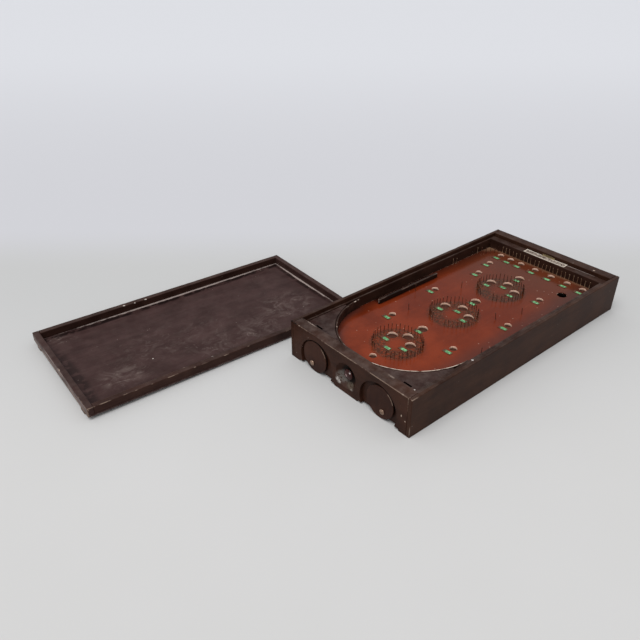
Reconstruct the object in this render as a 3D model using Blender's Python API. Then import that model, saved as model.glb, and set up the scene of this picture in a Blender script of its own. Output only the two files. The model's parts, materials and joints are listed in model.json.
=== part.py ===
"""A bagatelle board with its lift-off lid, in metres, +Z up.

The box stands on its bottom panel at the origin. The round end of the playing field faces -X, the player's
end +X and the ball lane +Y. The lid lies on the floor beside the box, propped on its two tabs.
"""

from math import asin, atan, cos, pi, radians, sin, sqrt

import bmesh
import bpy

# Clearances
GAP = 0.0003
LID_PLAY = 0.0007
CUE_PLAY = 0.0004
SCREW_PLAY = 0.0004

# Box
BOX_LENGTH = 0.760
BOX_WIDTH = 0.376
BOX_HEIGHT = 0.096
SIDE_RAIL = 0.009
ROUND_END_RAIL = 0.028
SQUARE_END_RAIL = 0.027
RIM_DEPTH = 0.010
BOTTOM_PANEL = 0.004
BACK_LINING = 0.005
FRONT_LINING = 0.015
SQUARE_LINING = 0.022

# Playfield and what carries it
FIELD_TOP = 0.060
FACING = 0.0015
BOARD = 0.007
BEARER_WIDTH = 0.020
BEARER_DEPTH = 0.017
BEARER_SPREAD = 0.27

# Bent strip and corner blocks of the round end
ARC_STRIP = 0.004
ARC_SETBACK = 0.007
ARC_SHADOW = 0.0012
BLOCK_DROP = 0.002
BLOCK_TIP = 0.005
SLOT_LENGTH = 0.021
SLOT_WIDTH = 0.0048
SLOT_DEPTH = 0.0065
SLOT_SPREAD = 0.137
SLOT_INSET = 0.0145

# Lane rail
LANE_WIDTH = 0.019
LANE_RAIL_WIDTH = 0.006
LANE_RAIL_HEIGHT = 0.013
LANE_RAIL_SHARES = (0.374, 0.690)

# Pockets: shares run uphill from the player's wall to the arc, and across from the middle line
POCKET_DEPTH = 0.0070
SMALL_POCKET_RADIUS = 0.0085
LARGE_POCKET_RADIUS = 0.012
CLUSTER_SHARES = (0.778, 0.493, 0.226)
CLUSTER_SPREADS = (0.028, 0.036, 0.036)
CLUSTER_SIDE_SHIFT = -0.012
CLUSTER_MIDDLE_SHIFT = 0.010
CLUSTER_LOW_SHIFT = 0.060
SINGLE_SHARES = (
    (0.701, 0.54),
    (0.701, -0.58),
    (0.448, 0.63),
    (0.448, -0.70),
    (0.216, 0.54),
    (0.216, -0.58),
    (0.117, 0.63),
)
BALL_HOLE_SHARES = (0.123, -0.71)
ARC_POCKET_SHARES = (0.930, -0.012)
END_ROW_SETBACK = 0.020
END_ROW_SHARES = (0.675, 0.479, 0.278, 0.012, -0.278, -0.562, -0.828)

# Score labels, placed uphill of their pockets
LABEL_LENGTH = 0.018
LABEL_WIDTH = 0.0085
LABEL_SHEET = 0.0003
SINGLE_LABEL_REACH = 0.020
END_ROW_LABEL_REACH = 0.023
CLUSTER_LABEL_REACH = 0.023
LOW_LABEL_REACH = 0.0165
STRAY_LABEL_REACH = 0.068

# Nails
NAIL_RADIUS = 0.001
NAIL_HEIGHT = 0.020
RING_RADIUS = 0.0575
RING_SHIFT = 0.030
RING_SIDE_SHIFT = -0.005
RING_SPACES = 38
RING_GAP_SPACES = 4
FENCE_SETBACK = 0.004
FENCE_SPACING = 0.0117
FENCE_TOP_SHARE = 0.722
CORNER_REACH = 0.057
CORNER_SPACES = 6
LOOSE_NAIL_SHARES = (
    (0.635, 0.467),
    (0.367, 0.396),
    (0.451, -0.497),
    (0.351, -0.645),
    (0.654, -0.888),
    (0.519, 0.775),
    (0.246, 0.970),
    (0.229, 0.970),
)

# Paper label on the ledge at the player's end
END_LABEL_LENGTH = 0.125
END_LABEL_WIDTH = 0.0185
END_LABEL_SHEET = 0.0004
END_LABEL_PLACE = 0.0035

# Swing-out discs on the round end
DISC_RADIUS = 0.0385
DISC_THICKNESS = 0.0058
DISC_ECCENTRICITY = 0.0215
DISC_LEAN = radians(24)
DISC_FLOOR_CLEARANCE = 0.0006
PIVOT_SHARE = 0.297
RECESS_MARGIN = 0.0155
RECESS_INWARD = 0.014
RECESS_UP = 0.009
FOOT_CUT_MARGIN = 0.0065
FOOT_CUT_HEIGHT = 0.005
WASHER_RADIUS = 0.006
WASHER_THICKNESS = 0.0008
SCREW_RADIUS = 0.0025
SCREW_LENGTH = 0.020
SCREW_HEAD_RADIUS = 0.005
SCREW_HEAD_HEIGHT = 0.003

# Cue and its finger dish
DISH_RADIUS = 0.0316
DISH_DEPTH = 0.017
CUE_CLEARANCE = 0.0007
CUE_RADIUS = 0.0045
CUE_REACH = 0.0083
CUE_TENON = 0.006
KNOB_RADIUS = 0.0128
KNOB_LENGTH = 0.0095
KNOB_SETBACK = 0.004
KNOB_NECK_RADIUS = 0.0065

# Lid
LID_HEIGHT = 0.022
LID_PANEL = 0.004
LID_RAIL = 0.014
LID_OFFSET = 0.101
LID_STANDOFF = 0.047
LID_YAW = radians(-3)
TAB_LENGTH = 0.020
TAB_THICKNESS = 0.0034
TAB_DROP = 0.008
TAB_ROOT = 0.008
TAB_SPREAD = 0.143

# Facet counts
POCKET_SIDES = 16
NAIL_SIDES = 6
DISC_SIDES = 40
SCREW_SIDES = 16
KNOB_SIDES = 24
ARC_STEPS = 36
NOSE_STEPS = 8
SMOOTH_ANGLE = radians(35)

# Faces and levels that several pieces share
round_face = -BOX_LENGTH / 2 + ROUND_END_RAIL
square_face = BOX_LENGTH / 2 - SQUARE_END_RAIL
side_face = BOX_WIDTH / 2 - SIDE_RAIL
field_end = square_face - SQUARE_LINING
field_back = side_face - BACK_LINING
field_front = -side_face + FRONT_LINING
field_middle = (field_back + field_front) / 2
field_half = (field_back - field_front) / 2
ledge_top = BOX_HEIGHT - RIM_DEPTH
block_top = ledge_top - BLOCK_DROP
lining_foot = BOTTOM_PANEL + GAP
facing_foot = FIELD_TOP - FACING
board_top = facing_foot - GAP
board_foot = board_top - BOARD
arc_outer = field_half - GAP
arc_inner = arc_outer - ARC_STRIP
arc_centre = round_face + ARC_SETBACK + arc_inner
field_length = field_end - round_face - ARC_SETBACK
bearer_middle = (field_end + round_face) / 2
bearer_step = BEARER_SPREAD * (field_end - round_face)
cue_height = board_foot - CUE_CLEARANCE - CUE_RADIUS
cue_end = bearer_middle + BEARER_WIDTH / 2 + CUE_REACH
pivot_height = DISC_RADIUS + DISC_FLOOR_CLEARANCE - DISC_ECCENTRICITY * cos(DISC_LEAN)
pivot_offset = PIVOT_SHARE * BOX_WIDTH
disc_back_face = -BOX_LENGTH / 2 + DISC_THICKNESS
recess_floor = disc_back_face + WASHER_THICKNESS + 2 * GAP
recess_radius = DISC_RADIUS + RECESS_MARGIN
lid_length = square_face - round_face - 2 * LID_PLAY
lid_width = 2 * side_face - 2 * LID_PLAY
tab_place = (TAB_THICKNESS - lid_length) / 2


def clear_scene():
    """Remove every object that the scene starts with."""
    for thing in list(bpy.data.objects):
        bpy.data.objects.remove(thing, do_unlink=True)


def make_material(name, colour, roughness, metallic=0.0):
    """A plain Principled material."""
    material = bpy.data.materials.new(name)
    material.use_nodes = True
    shader = material.node_tree.nodes["Principled BSDF"]
    shader.inputs["Base Color"].default_value = (*colour, 1.0)
    shader.inputs["Roughness"].default_value = roughness
    shader.inputs["Metallic"].default_value = metallic
    material.diffuse_color = (*colour, 1.0)
    return material


def add_prism(bm, outline, low, high, along="Z"):
    """An outline pushed along Z (points are x, y) or along X (points are y, z)."""
    if along == "Z":
        start = [bm.verts.new((u, v, low)) for u, v in outline]
        push = (0.0, 0.0, high - low)
    else:
        start = [bm.verts.new((low, u, v)) for u, v in outline]
        push = (high - low, 0.0, 0.0)
    face = bm.faces.new(start)
    grown = bmesh.ops.extrude_face_region(bm, geom=[face])
    moved = [item for item in grown["geom"] if isinstance(item, bmesh.types.BMVert)]
    bmesh.ops.translate(bm, verts=moved, vec=push)


def add_box(bm, low, high):
    """A box between two corners."""
    outline = [(low[0], low[1]), (high[0], low[1]), (high[0], high[1]), (low[0], high[1])]
    add_prism(bm, outline, low[2], high[2])


def add_lathe(bm, profile, sides):
    """A turned solid about the X axis from (x, radius) points, closed at both ends."""
    rings = []
    for x, radius in profile:
        turns = range(sides) if radius > 0 else range(1)
        rings.append([
            bm.verts.new((x, radius * cos(2 * pi * turn / sides), radius * sin(2 * pi * turn / sides)))
            for turn in turns
        ])
    for first, second in zip(rings, rings[1:]):
        for turn in range(sides):
            corners = [
                first[turn % len(first)],
                first[(turn + 1) % len(first)],
                second[(turn + 1) % len(second)],
                second[turn % len(second)],
            ]
            bm.faces.new(list(dict.fromkeys(corners)))
    for end in (rings[0], rings[-1]):
        if len(end) > 1:
            bm.faces.new(end)


def add_tube(bm, section, sides):
    """A closed ring about the X axis from a closed (x, radius) section."""
    rings = [
        [
            bm.verts.new((x, radius * cos(2 * pi * turn / sides), radius * sin(2 * pi * turn / sides)))
            for turn in range(sides)
        ]
        for x, radius in section
    ]
    for first, second in zip(rings, rings[1:] + rings[:1]):
        for turn in range(sides):
            after = (turn + 1) % sides
            bm.faces.new((first[turn], first[after], second[after], second[turn]))


def circle(centre, radius, sides):
    """Points of a regular polygon round a centre."""
    return [
        (centre[0] + radius * cos(2 * pi * turn / sides), centre[1] + radius * sin(2 * pi * turn / sides))
        for turn in range(sides)
    ]


def make_object(name, bm, material=None, parent=None, location=(0.0, 0.0, 0.0), round_piece=False):
    """A named object from a bmesh, with outward faces."""
    bmesh.ops.recalc_face_normals(bm, faces=bm.faces)
    mesh = bpy.data.meshes.new(name)
    bm.to_mesh(mesh)
    bm.free()
    if material is not None:
        mesh.materials.append(material)
    if round_piece:
        mesh.shade_smooth()
        mesh.set_sharp_from_angle(angle=SMOOTH_ANGLE)
    piece = bpy.data.objects.new(name, mesh)
    bpy.context.collection.objects.link(piece)
    piece.parent = parent
    piece.location = location
    return piece


def make_board(name, low, high, material, parent=None):
    """A plain board between two corners, with its origin at its middle."""
    middle = [(a + b) / 2 for a, b in zip(low, high)]
    bm = bmesh.new()
    add_box(bm, [a - m for a, m in zip(low, middle)], [b - m for b, m in zip(high, middle)])
    return make_object(name, bm, material, parent, middle)


def make_cutter(name, bm, parent=None, location=(0.0, 0.0, 0.0)):
    """A shape that only cuts or joins, hidden from renders."""
    cutter = make_object(name, bm, None, parent, location)
    cutter.hide_render = True
    cutter.display_type = "WIRE"
    return cutter


def apply_shape(piece, cutter, operation="DIFFERENCE"):
    """Cut a shape out of a piece, or join it on."""
    modifier = piece.modifiers.new(cutter.name, "BOOLEAN")
    modifier.object = cutter
    modifier.operation = operation
    modifier.solver = "EXACT"


def make_empty(name, location, rotation=(0.0, 0.0, 0.0)):
    """An empty that carries a moving group."""
    carrier = bpy.data.objects.new(name, None)
    bpy.context.collection.objects.link(carrier)
    carrier.location = location
    carrier.rotation_euler = rotation
    return carrier


def on_field(shares):
    """A point of the playfield from its share uphill and its share across."""
    return (field_end - shares[0] * field_length, field_middle + shares[1] * field_half)


def cluster_pockets():
    """Centres of the four pockets of each cluster: two side ones, the middle one and the low one."""
    clusters = []
    for share, spread in zip(CLUSTER_SHARES, CLUSTER_SPREADS):
        x, y = on_field((share, 0.0))
        clusters.append([
            (x + CLUSTER_SIDE_SHIFT, y + spread),
            (x + CLUSTER_SIDE_SHIFT, y - spread),
            (x + CLUSTER_MIDDLE_SHIFT, y),
            (x + CLUSTER_LOW_SHIFT, y),
        ])
    return clusters


def single_pockets():
    """Centres of the pockets that stand alone on the field."""
    return [on_field(shares) for shares in SINGLE_SHARES]


def end_row_pockets():
    """Centres of the row of pockets along the player's end."""
    return [(field_end - END_ROW_SETBACK, field_middle + share * field_half) for share in END_ROW_SHARES]


def label_places():
    """Centres of the score labels, each uphill of its pocket."""
    places = []
    for number, pockets in enumerate(cluster_pockets()):
        middle_reach = STRAY_LABEL_REACH if number == 0 else CLUSTER_LABEL_REACH
        reaches = (CLUSTER_LABEL_REACH, CLUSTER_LABEL_REACH, middle_reach, LOW_LABEL_REACH)
        places += [(x - reach, y) for (x, y), reach in zip(pockets, reaches)]
    places += [(x - SINGLE_LABEL_REACH, y) for x, y in single_pockets()]
    places += [(x - END_ROW_LABEL_REACH, y) for x, y in end_row_pockets()]
    return places


def nail_places():
    """Centres of all nails: three rings open uphill, the fence that cuts off the far corner, the loose ones."""
    places = []
    for share in CLUSTER_SHARES:
        x, y = on_field((share, 0.0))
        x -= RING_SHIFT
        y += RING_SIDE_SHIFT
        for step in range(RING_SPACES - RING_GAP_SPACES + 1):
            turn = pi + 2 * pi * (step + RING_GAP_SPACES / 2) / RING_SPACES
            places.append((x + RING_RADIUS * cos(turn), y + RING_RADIUS * sin(turn)))
    fence_x = field_end - FENCE_SETBACK
    fence_top = field_middle + FENCE_TOP_SHARE * field_half
    fence_count = int((fence_top - field_front) / FENCE_SPACING)
    places += [(fence_x, fence_top - step * FENCE_SPACING) for step in range(fence_count)]
    rise = field_back - FENCE_SETBACK - fence_top
    for step in range(CORNER_SPACES):
        share = (step + 1) / CORNER_SPACES
        places.append((fence_x - share * CORNER_REACH, fence_top + share * rise))
    places += [on_field(shares) for shares in LOOSE_NAIL_SHARES]
    return places


def make_rails(wood, round_wood):
    """The four rails of the box. The side rails run past the end rails."""
    half = BOX_LENGTH / 2
    for name, side in (("side_rail_back", 1), ("side_rail_front", -1)):
        inner, outer = sorted((side * side_face, side * BOX_WIDTH / 2))
        make_board(name, (-half, inner, 0), (half, outer, BOX_HEIGHT), wood)
    reach = side_face - GAP
    make_board("square_end_rail", (square_face, -reach, 0), (half, reach, BOX_HEIGHT), wood)
    rail = make_board("round_end_rail", (-half, -reach, 0), (round_face, reach, BOX_HEIGHT), round_wood)
    for cutter in round_end_cutters():
        apply_shape(rail, cutter)


def round_end_cutters():
    """The recesses, foot cuts, screw holes, finger dish and cue hole of the round end rail."""
    outside = -BOX_LENGTH / 2 - GAP
    inside = round_face + GAP
    recesses = bmesh.new()
    feet = bmesh.new()
    screws = bmesh.new()
    for side in (1, -1):
        middle = side * (pivot_offset - RECESS_INWARD)
        centre = (middle, pivot_height + RECESS_UP)
        reach = recess_radius + FOOT_CUT_MARGIN
        add_prism(recesses, circle(centre, recess_radius, DISC_SIDES), outside, recess_floor, "X")
        add_box(feet, (outside, middle - reach, -GAP), (inside, middle + reach, FOOT_CUT_HEIGHT))
        bore = circle((side * pivot_offset, pivot_height), SCREW_RADIUS + SCREW_PLAY, SCREW_SIDES)
        add_prism(screws, bore, outside, disc_back_face + SCREW_LENGTH + GAP, "X")
    ball_radius = (DISH_RADIUS ** 2 + DISH_DEPTH ** 2) / (2 * DISH_DEPTH)
    dish = bmesh.new()
    bmesh.ops.create_uvsphere(dish, u_segments=KNOB_SIDES, v_segments=KNOB_SIDES, radius=ball_radius)
    dish_place = (-BOX_LENGTH / 2 + DISH_DEPTH - ball_radius, 0.0, cue_height)
    cue_hole = bmesh.new()
    add_prism(cue_hole, circle((0.0, cue_height), CUE_RADIUS + CUE_PLAY, SCREW_SIDES), outside, inside, "X")
    return (
        make_cutter("cut_recesses", recesses),
        make_cutter("cut_feet", feet),
        make_cutter("cut_screws", screws),
        make_cutter("cut_dish", dish, location=dish_place),
        make_cutter("cut_cue_hole", cue_hole),
    )


def make_linings(wood):
    """The boards inside the rails. Their tops are the ledge that the lid rests on."""
    reach = side_face - GAP
    start = round_face + GAP
    end = field_end - GAP
    make_board("lining_back", (start, field_back, lining_foot), (end, reach, ledge_top), wood)
    make_board("lining_front", (start, -reach, lining_foot), (end, field_front, ledge_top), wood)
    far = square_face - GAP
    make_board("lining_square_end", (field_end, -reach, lining_foot), (far, reach, ledge_top), wood)
    make_board("bottom_panel", (start, -reach, 0.0), (far, reach, BOTTOM_PANEL), wood)


def make_bearers(wood):
    """Cross bearers under the playfield, notched where the cue lies."""
    half_notch = CUE_RADIUS + CUE_PLAY
    notch = bmesh.new()
    low = (round_face, -half_notch, cue_height - half_notch)
    add_box(notch, low, (cue_end + CUE_REACH, half_notch, FIELD_TOP))
    cutter = make_cutter("cut_cue_notch", notch)
    top = board_foot - GAP
    for name, step in (("bearer_round", -1), ("bearer_mid", 0), ("bearer_square", 1)):
        middle = bearer_middle + step * bearer_step
        low = (middle - BEARER_WIDTH / 2, field_front + GAP, top - BEARER_DEPTH)
        bearer = make_board(name, low, (middle + BEARER_WIDTH / 2, field_back - GAP, top), wood)
        apply_shape(bearer, cutter)


def pocket_cutter():
    """All pockets as one cutter, with the ball hole going right through the board."""
    bm = bmesh.new()
    floor = FIELD_TOP - POCKET_DEPTH
    top = FIELD_TOP + NAIL_HEIGHT
    for pockets in cluster_pockets():
        for centre in pockets:
            add_prism(bm, circle(centre, LARGE_POCKET_RADIUS, POCKET_SIDES), floor, top)
    for centre in single_pockets() + end_row_pockets() + [on_field(ARC_POCKET_SHARES)]:
        add_prism(bm, circle(centre, SMALL_POCKET_RADIUS, POCKET_SIDES), floor, top)
    ball_hole = circle(on_field(BALL_HOLE_SHARES), LARGE_POCKET_RADIUS, POCKET_SIDES)
    add_prism(bm, ball_hole, board_foot - GAP, top)
    return make_cutter("cut_pockets", bm)


def make_playfield(board_wood, facing_paint):
    """The playfield board and its facing sheet, which carries the nails."""
    start = round_face + GAP
    end = field_end - GAP
    front = field_front + GAP
    back = field_back - GAP
    pockets = pocket_cutter()
    board = make_board("playfield_board", (start, front, board_foot), (end, back, board_top), board_wood)
    apply_shape(board, pockets)
    facing = make_board("playfield_facing", (start, front, facing_foot), (end, back, FIELD_TOP), facing_paint)
    apply_shape(facing, pockets)
    bm = bmesh.new()
    for centre in nail_places():
        nail = circle(centre, NAIL_RADIUS, NAIL_SIDES)
        add_prism(bm, nail, FIELD_TOP - FACING / 2, FIELD_TOP + NAIL_HEIGHT)
    apply_shape(facing, make_cutter("join_nails", bm), "UNION")


def make_score_labels(paper):
    """Small paper labels beside the pockets."""
    foot = FIELD_TOP + GAP
    for number, (x, y) in enumerate(label_places(), start=1):
        low = (x - LABEL_WIDTH / 2, y - LABEL_LENGTH / 2, foot)
        high = (x + LABEL_WIDTH / 2, y + LABEL_LENGTH / 2, foot + LABEL_SHEET)
        make_board(f"score_label_{number:02d}", low, high, paper)


def make_round_end(wood, strip_wood):
    """The bent strip round the top of the field and the two corner blocks behind it."""
    foot = FIELD_TOP + GAP
    turns = [pi / 2 + pi * step / ARC_STEPS for step in range(ARC_STEPS + 1)]
    rim = [(arc_outer, turn) for turn in turns] + [(arc_inner, turn) for turn in reversed(turns)]
    outline = [(arc_centre + radius * cos(turn), field_middle + radius * sin(turn)) for radius, turn in rim]
    bm = bmesh.new()
    add_prism(bm, outline, foot, block_top)
    make_object("arc_strip", bm, strip_wood, round_piece=True)
    make_corner_block("corner_block_back", 1, wood)
    make_corner_block("corner_block_front", -1, wood)


def make_corner_block(name, side, wood):
    """One corner block, hollowed round the strip, with a narrow slot in its top."""
    hollow = arc_outer + ARC_SHADOW
    corner_x = round_face + GAP
    reach_x = arc_centre - corner_x
    reach_y = field_half - GAP
    start = asin(sqrt(hollow ** 2 - (reach_x - BLOCK_TIP) ** 2) / hollow)
    end = asin((reach_y - BLOCK_TIP) / hollow)
    turns = [start + (end - start) * step / ARC_STEPS for step in range(ARC_STEPS + 1)]
    arc = [(-hollow * cos(turn), hollow * sin(turn)) for turn in turns]
    shape = [(-reach_x, arc[0][1])] + arc + [(arc[-1][0], reach_y), (-reach_x, reach_y)]
    outline = [(arc_centre + x, field_middle + side * y) for x, y in shape]
    bm = bmesh.new()
    add_prism(bm, outline, FIELD_TOP + GAP, block_top)
    block = make_object(name, bm, wood)
    slot = bmesh.new()
    half = (SLOT_WIDTH / 2, SLOT_LENGTH / 2, SLOT_DEPTH)
    add_box(slot, [-reach for reach in half], half)
    place = (round_face + SLOT_INSET, side * SLOT_SPREAD, block_top)
    apply_shape(block, make_cutter(f"cut_slot_{name}", slot, location=place))


def make_lane_rail(wood):
    """The low rail beside the ball lane, with a rounded nose at its uphill end."""
    start = field_end - LANE_RAIL_SHARES[1] * field_length
    end = field_end - LANE_RAIL_SHARES[0] * field_length
    half = LANE_RAIL_WIDTH / 2
    middle = field_back - LANE_WIDTH - half
    turns = [pi / 2 + pi * step / NOSE_STEPS for step in range(NOSE_STEPS + 1)]
    outline = [(start + half + half * cos(turn), middle + half * sin(turn)) for turn in turns]
    outline += [(end, middle - half), (end, middle + half)]
    bm = bmesh.new()
    foot = FIELD_TOP + GAP
    add_prism(bm, outline, foot, foot + LANE_RAIL_HEIGHT)
    make_object("lane_rail", bm, wood, round_piece=True)


def make_end_label(paper):
    """The blank paper label on the ledge of the player's end."""
    middle = field_end + SQUARE_LINING / 2
    foot = ledge_top + GAP
    low = (middle - END_LABEL_WIDTH / 2, END_LABEL_PLACE - END_LABEL_LENGTH / 2, foot)
    high = (middle + END_LABEL_WIDTH / 2, END_LABEL_PLACE + END_LABEL_LENGTH / 2, foot + END_LABEL_SHEET)
    make_board("end_label", low, high, paper)


def make_feet(disc_wood, steel):
    """The two swing-out discs, each turning on its own screw and washer."""
    hole = SCREW_RADIUS + SCREW_PLAY
    for name, side in (("back", 1), ("front", -1)):
        pivot = (disc_back_face, side * pivot_offset, pivot_height)
        bm = bmesh.new()
        centre = (-side * DISC_ECCENTRICITY * sin(DISC_LEAN), DISC_ECCENTRICITY * cos(DISC_LEAN))
        add_prism(bm, circle(centre, DISC_RADIUS, DISC_SIDES), -DISC_THICKNESS, 0.0, "X")
        disc = make_object(f"foot_disc_{name}", bm, disc_wood, None, pivot, round_piece=True)
        bore = bmesh.new()
        add_prism(bore, circle((0.0, 0.0), hole, SCREW_SIDES), -DISC_THICKNESS - GAP, GAP, "X")
        apply_shape(disc, make_cutter(f"cut_pivot_{name}", bore, location=pivot))
        washer = bmesh.new()
        inner = [(GAP, hole), (GAP + WASHER_THICKNESS, hole)]
        outer = [(GAP + WASHER_THICKNESS, WASHER_RADIUS), (GAP, WASHER_RADIUS)]
        add_tube(washer, inner + outer, SCREW_SIDES)
        make_object(f"washer_{name}", washer, steel, None, pivot, round_piece=True)
        screw = bmesh.new()
        head = -DISC_THICKNESS - GAP
        profile = [
            (head - SCREW_HEAD_HEIGHT, 0.0),
            (head - SCREW_HEAD_HEIGHT * 0.92, SCREW_HEAD_RADIUS * 0.42),
            (head - SCREW_HEAD_HEIGHT * 0.62, SCREW_HEAD_RADIUS * 0.80),
            (head, SCREW_HEAD_RADIUS),
            (head, SCREW_RADIUS),
            (SCREW_LENGTH, SCREW_RADIUS),
        ]
        add_lathe(screw, profile, SCREW_SIDES)
        make_object(f"pivot_screw_{name}", screw, steel, None, pivot, round_piece=True)


def make_cue(knob_wood, shaft_wood):
    """The cue stored under the playfield: a slim shaft with a turned knob on its end."""
    face = -BOX_LENGTH / 2
    carrier = make_empty("cue", (face, 0.0, cue_height))
    front = KNOB_SETBACK
    back = front + KNOB_LENGTH
    knob = bmesh.new()
    profile = [
        (front, 0.0),
        (front + KNOB_LENGTH * 0.04, KNOB_RADIUS * 0.45),
        (front + KNOB_LENGTH * 0.16, KNOB_RADIUS * 0.78),
        (front + KNOB_LENGTH * 0.38, KNOB_RADIUS),
        (front + KNOB_LENGTH * 0.58, KNOB_RADIUS * 0.96),
        (front + KNOB_LENGTH * 0.80, KNOB_NECK_RADIUS * 1.10),
        (back, KNOB_NECK_RADIUS),
        (back, CUE_RADIUS + GAP),
        (back - CUE_TENON, CUE_RADIUS + GAP),
        (back - CUE_TENON, 0.0),
    ]
    add_lathe(knob, profile, KNOB_SIDES)
    make_object("cue_knob", knob, knob_wood, carrier, round_piece=True)
    shaft = bmesh.new()
    start = back - CUE_TENON + GAP
    end = cue_end - face
    tip = [
        (end - CUE_RADIUS, CUE_RADIUS),
        (end - CUE_RADIUS * 0.4, CUE_RADIUS * 0.85),
        (end, CUE_RADIUS * 0.4),
    ]
    add_lathe(shaft, [(start, CUE_RADIUS)] + tip, SCREW_SIDES)
    make_object("cue_shaft", shaft, shaft_wood, carrier, round_piece=True)


def make_lid(panel_wood, rail_wood):
    """The lid: a panel with a rail round its upper side and two tabs under its left end."""
    tilt = atan(TAB_DROP / (lid_length / 2 - tab_place - TAB_THICKNESS / 2))
    near_reach = lid_width / 2 * cos(LID_YAW) - lid_length / 2 * sin(LID_YAW)
    place = (
        -BOX_LENGTH / 2 - LID_OFFSET,
        BOX_WIDTH / 2 + LID_STANDOFF + near_reach,
        lid_length / 2 * sin(tilt),
    )
    carrier = make_empty("lid", place, (0.0, tilt, LID_YAW))
    end = lid_length / 2
    side = lid_width / 2
    foot = LID_PANEL + GAP
    inner_end = end - LID_RAIL
    inner_side = side - LID_RAIL
    panel = make_board("lid_panel", (-end, -side, 0.0), (end, side, LID_PANEL), panel_wood, carrier)
    mortises = bmesh.new()
    half_width = TAB_THICKNESS / 2
    half_length = TAB_LENGTH / 2
    for name, turn in (("back", 1), ("front", -1)):
        near, far = sorted((turn * inner_side, turn * side))
        low = (-inner_end + GAP, near, foot)
        make_board(f"lid_rail_{name}", low, (inner_end - GAP, far, LID_HEIGHT), rail_wood, carrier)
        middle = turn * TAB_SPREAD
        low = (tab_place - half_width, middle - half_length, -TAB_DROP)
        high = (tab_place + half_width, middle + half_length, foot + TAB_ROOT)
        make_board(f"lid_tab_{name}", low, high, rail_wood, carrier)
        add_box(mortises, [edge - GAP for edge in low], [edge + GAP for edge in high])
    make_board("lid_rail_square", (inner_end, -side, foot), (end, side, LID_HEIGHT), rail_wood, carrier)
    high = (-inner_end, side, LID_HEIGHT)
    rail = make_board("lid_rail_round", (-end, -side, foot), high, rail_wood, carrier)
    cutter = make_cutter("cut_mortises", mortises, carrier)
    apply_shape(panel, cutter)
    apply_shape(rail, cutter)


def main():
    clear_scene()
    rail_wood = make_material("dark_brown_wood", (0.047, 0.024, 0.019), 0.45)
    round_wood = make_material("round_end_wood", (0.060, 0.028, 0.020), 0.45)
    lining_wood = make_material("lining_wood", (0.050, 0.027, 0.022), 0.5)
    inner_wood = make_material("bare_wood", (0.36, 0.22, 0.12), 0.7)
    strip_wood = make_material("bent_strip_wood", (0.055, 0.030, 0.024), 0.4)
    facing_paint = make_material("red_brown_paint", (0.205, 0.045, 0.026), 0.5)
    disc_wood = make_material("disc_wood", (0.055, 0.027, 0.020), 0.45)
    knob_wood = make_material("turned_knob_wood", (0.040, 0.018, 0.014), 0.25)
    lid_wood = make_material("lid_wood", (0.050, 0.026, 0.020), 0.45)
    green_paper = make_material("green_paper", (0.045, 0.35, 0.13), 0.8)
    grey_paper = make_material("aged_paper", (0.42, 0.36, 0.29), 0.85)
    steel = make_material("dull_steel", (0.42, 0.40, 0.37), 0.4, 1.0)
    make_rails(rail_wood, round_wood)
    make_linings(lining_wood)
    make_bearers(inner_wood)
    make_playfield(inner_wood, facing_paint)
    make_score_labels(green_paper)
    make_round_end(lining_wood, strip_wood)
    make_lane_rail(lining_wood)
    make_end_label(grey_paper)
    make_feet(disc_wood, steel)
    make_cue(knob_wood, inner_wood)
    make_lid(lid_wood, lid_wood)


main()
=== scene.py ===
"""Looks of the bagatelle board and its lid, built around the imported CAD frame, in metres."""

import json
import random
from math import asin, atan, atan2, cos, hypot, pi, radians, sin, sqrt

import bmesh
import bpy
from mathutils import Euler, Matrix, Vector, noise


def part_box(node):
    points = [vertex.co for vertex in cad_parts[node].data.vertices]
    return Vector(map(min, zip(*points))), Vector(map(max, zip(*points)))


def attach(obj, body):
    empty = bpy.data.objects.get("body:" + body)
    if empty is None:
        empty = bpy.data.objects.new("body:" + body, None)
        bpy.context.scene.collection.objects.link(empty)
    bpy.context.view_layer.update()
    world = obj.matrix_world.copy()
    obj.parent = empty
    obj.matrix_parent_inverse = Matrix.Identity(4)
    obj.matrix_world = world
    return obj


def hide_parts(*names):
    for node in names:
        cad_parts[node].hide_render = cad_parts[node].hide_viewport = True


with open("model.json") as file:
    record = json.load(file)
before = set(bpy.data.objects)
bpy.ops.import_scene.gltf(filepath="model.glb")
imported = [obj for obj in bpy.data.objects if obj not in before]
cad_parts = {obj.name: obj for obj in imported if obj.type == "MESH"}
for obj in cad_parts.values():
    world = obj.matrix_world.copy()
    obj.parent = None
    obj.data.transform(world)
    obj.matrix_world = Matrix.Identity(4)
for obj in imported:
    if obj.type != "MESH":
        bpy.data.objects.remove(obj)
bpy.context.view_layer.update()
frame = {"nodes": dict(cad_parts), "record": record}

random.seed(20)

# Shapes that the CAD boxes alone don't give
GAP = 0.0003
ARC_STRIP = 0.004
ARC_SHADOW = 0.0012
ARC_SETBACK = 0.007
ARC_STEPS = 56
BLOCK_TIP = 0.005
SMALL_POCKET = 0.0085
LARGE_POCKET = 0.012
SMALL_OPENING = 0.0135
POCKET_DEPTH = 0.0070
POCKET_FILLET = 0.0008
LIP = 0.0008
LANE_RAIL_ROUND = 0.0016
NAIL_RADIUS = 0.00072
NAIL_HEIGHT = 0.020
NAIL_ROOT = 0.0007
NAIL_SHORTFALL = 0.0036
NAIL_STRAY = 0.0008
NAIL_LEAN = 3.6
NAIL_LEAN_LIMIT = 8.0
NAIL_HEAD = ((-0.0011, 1.0), (-0.0008, 1.35), (-0.0003, 1.30), (-0.0001, 0.8), (0.0, 0.0))
RING_RADIUS = 0.0575
RING_BEHIND_POCKET = 0.040
RING_SIDE_SHIFT = -0.005
RING_SPACES = 38
RING_GAP_SPACES = 4
FENCE_SETBACK = 0.004
FENCE_SPACING = 0.0117
FENCE_TOP_SHARE = 0.722
CORNER_REACH = 0.057
CORNER_SPACES = 6
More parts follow.
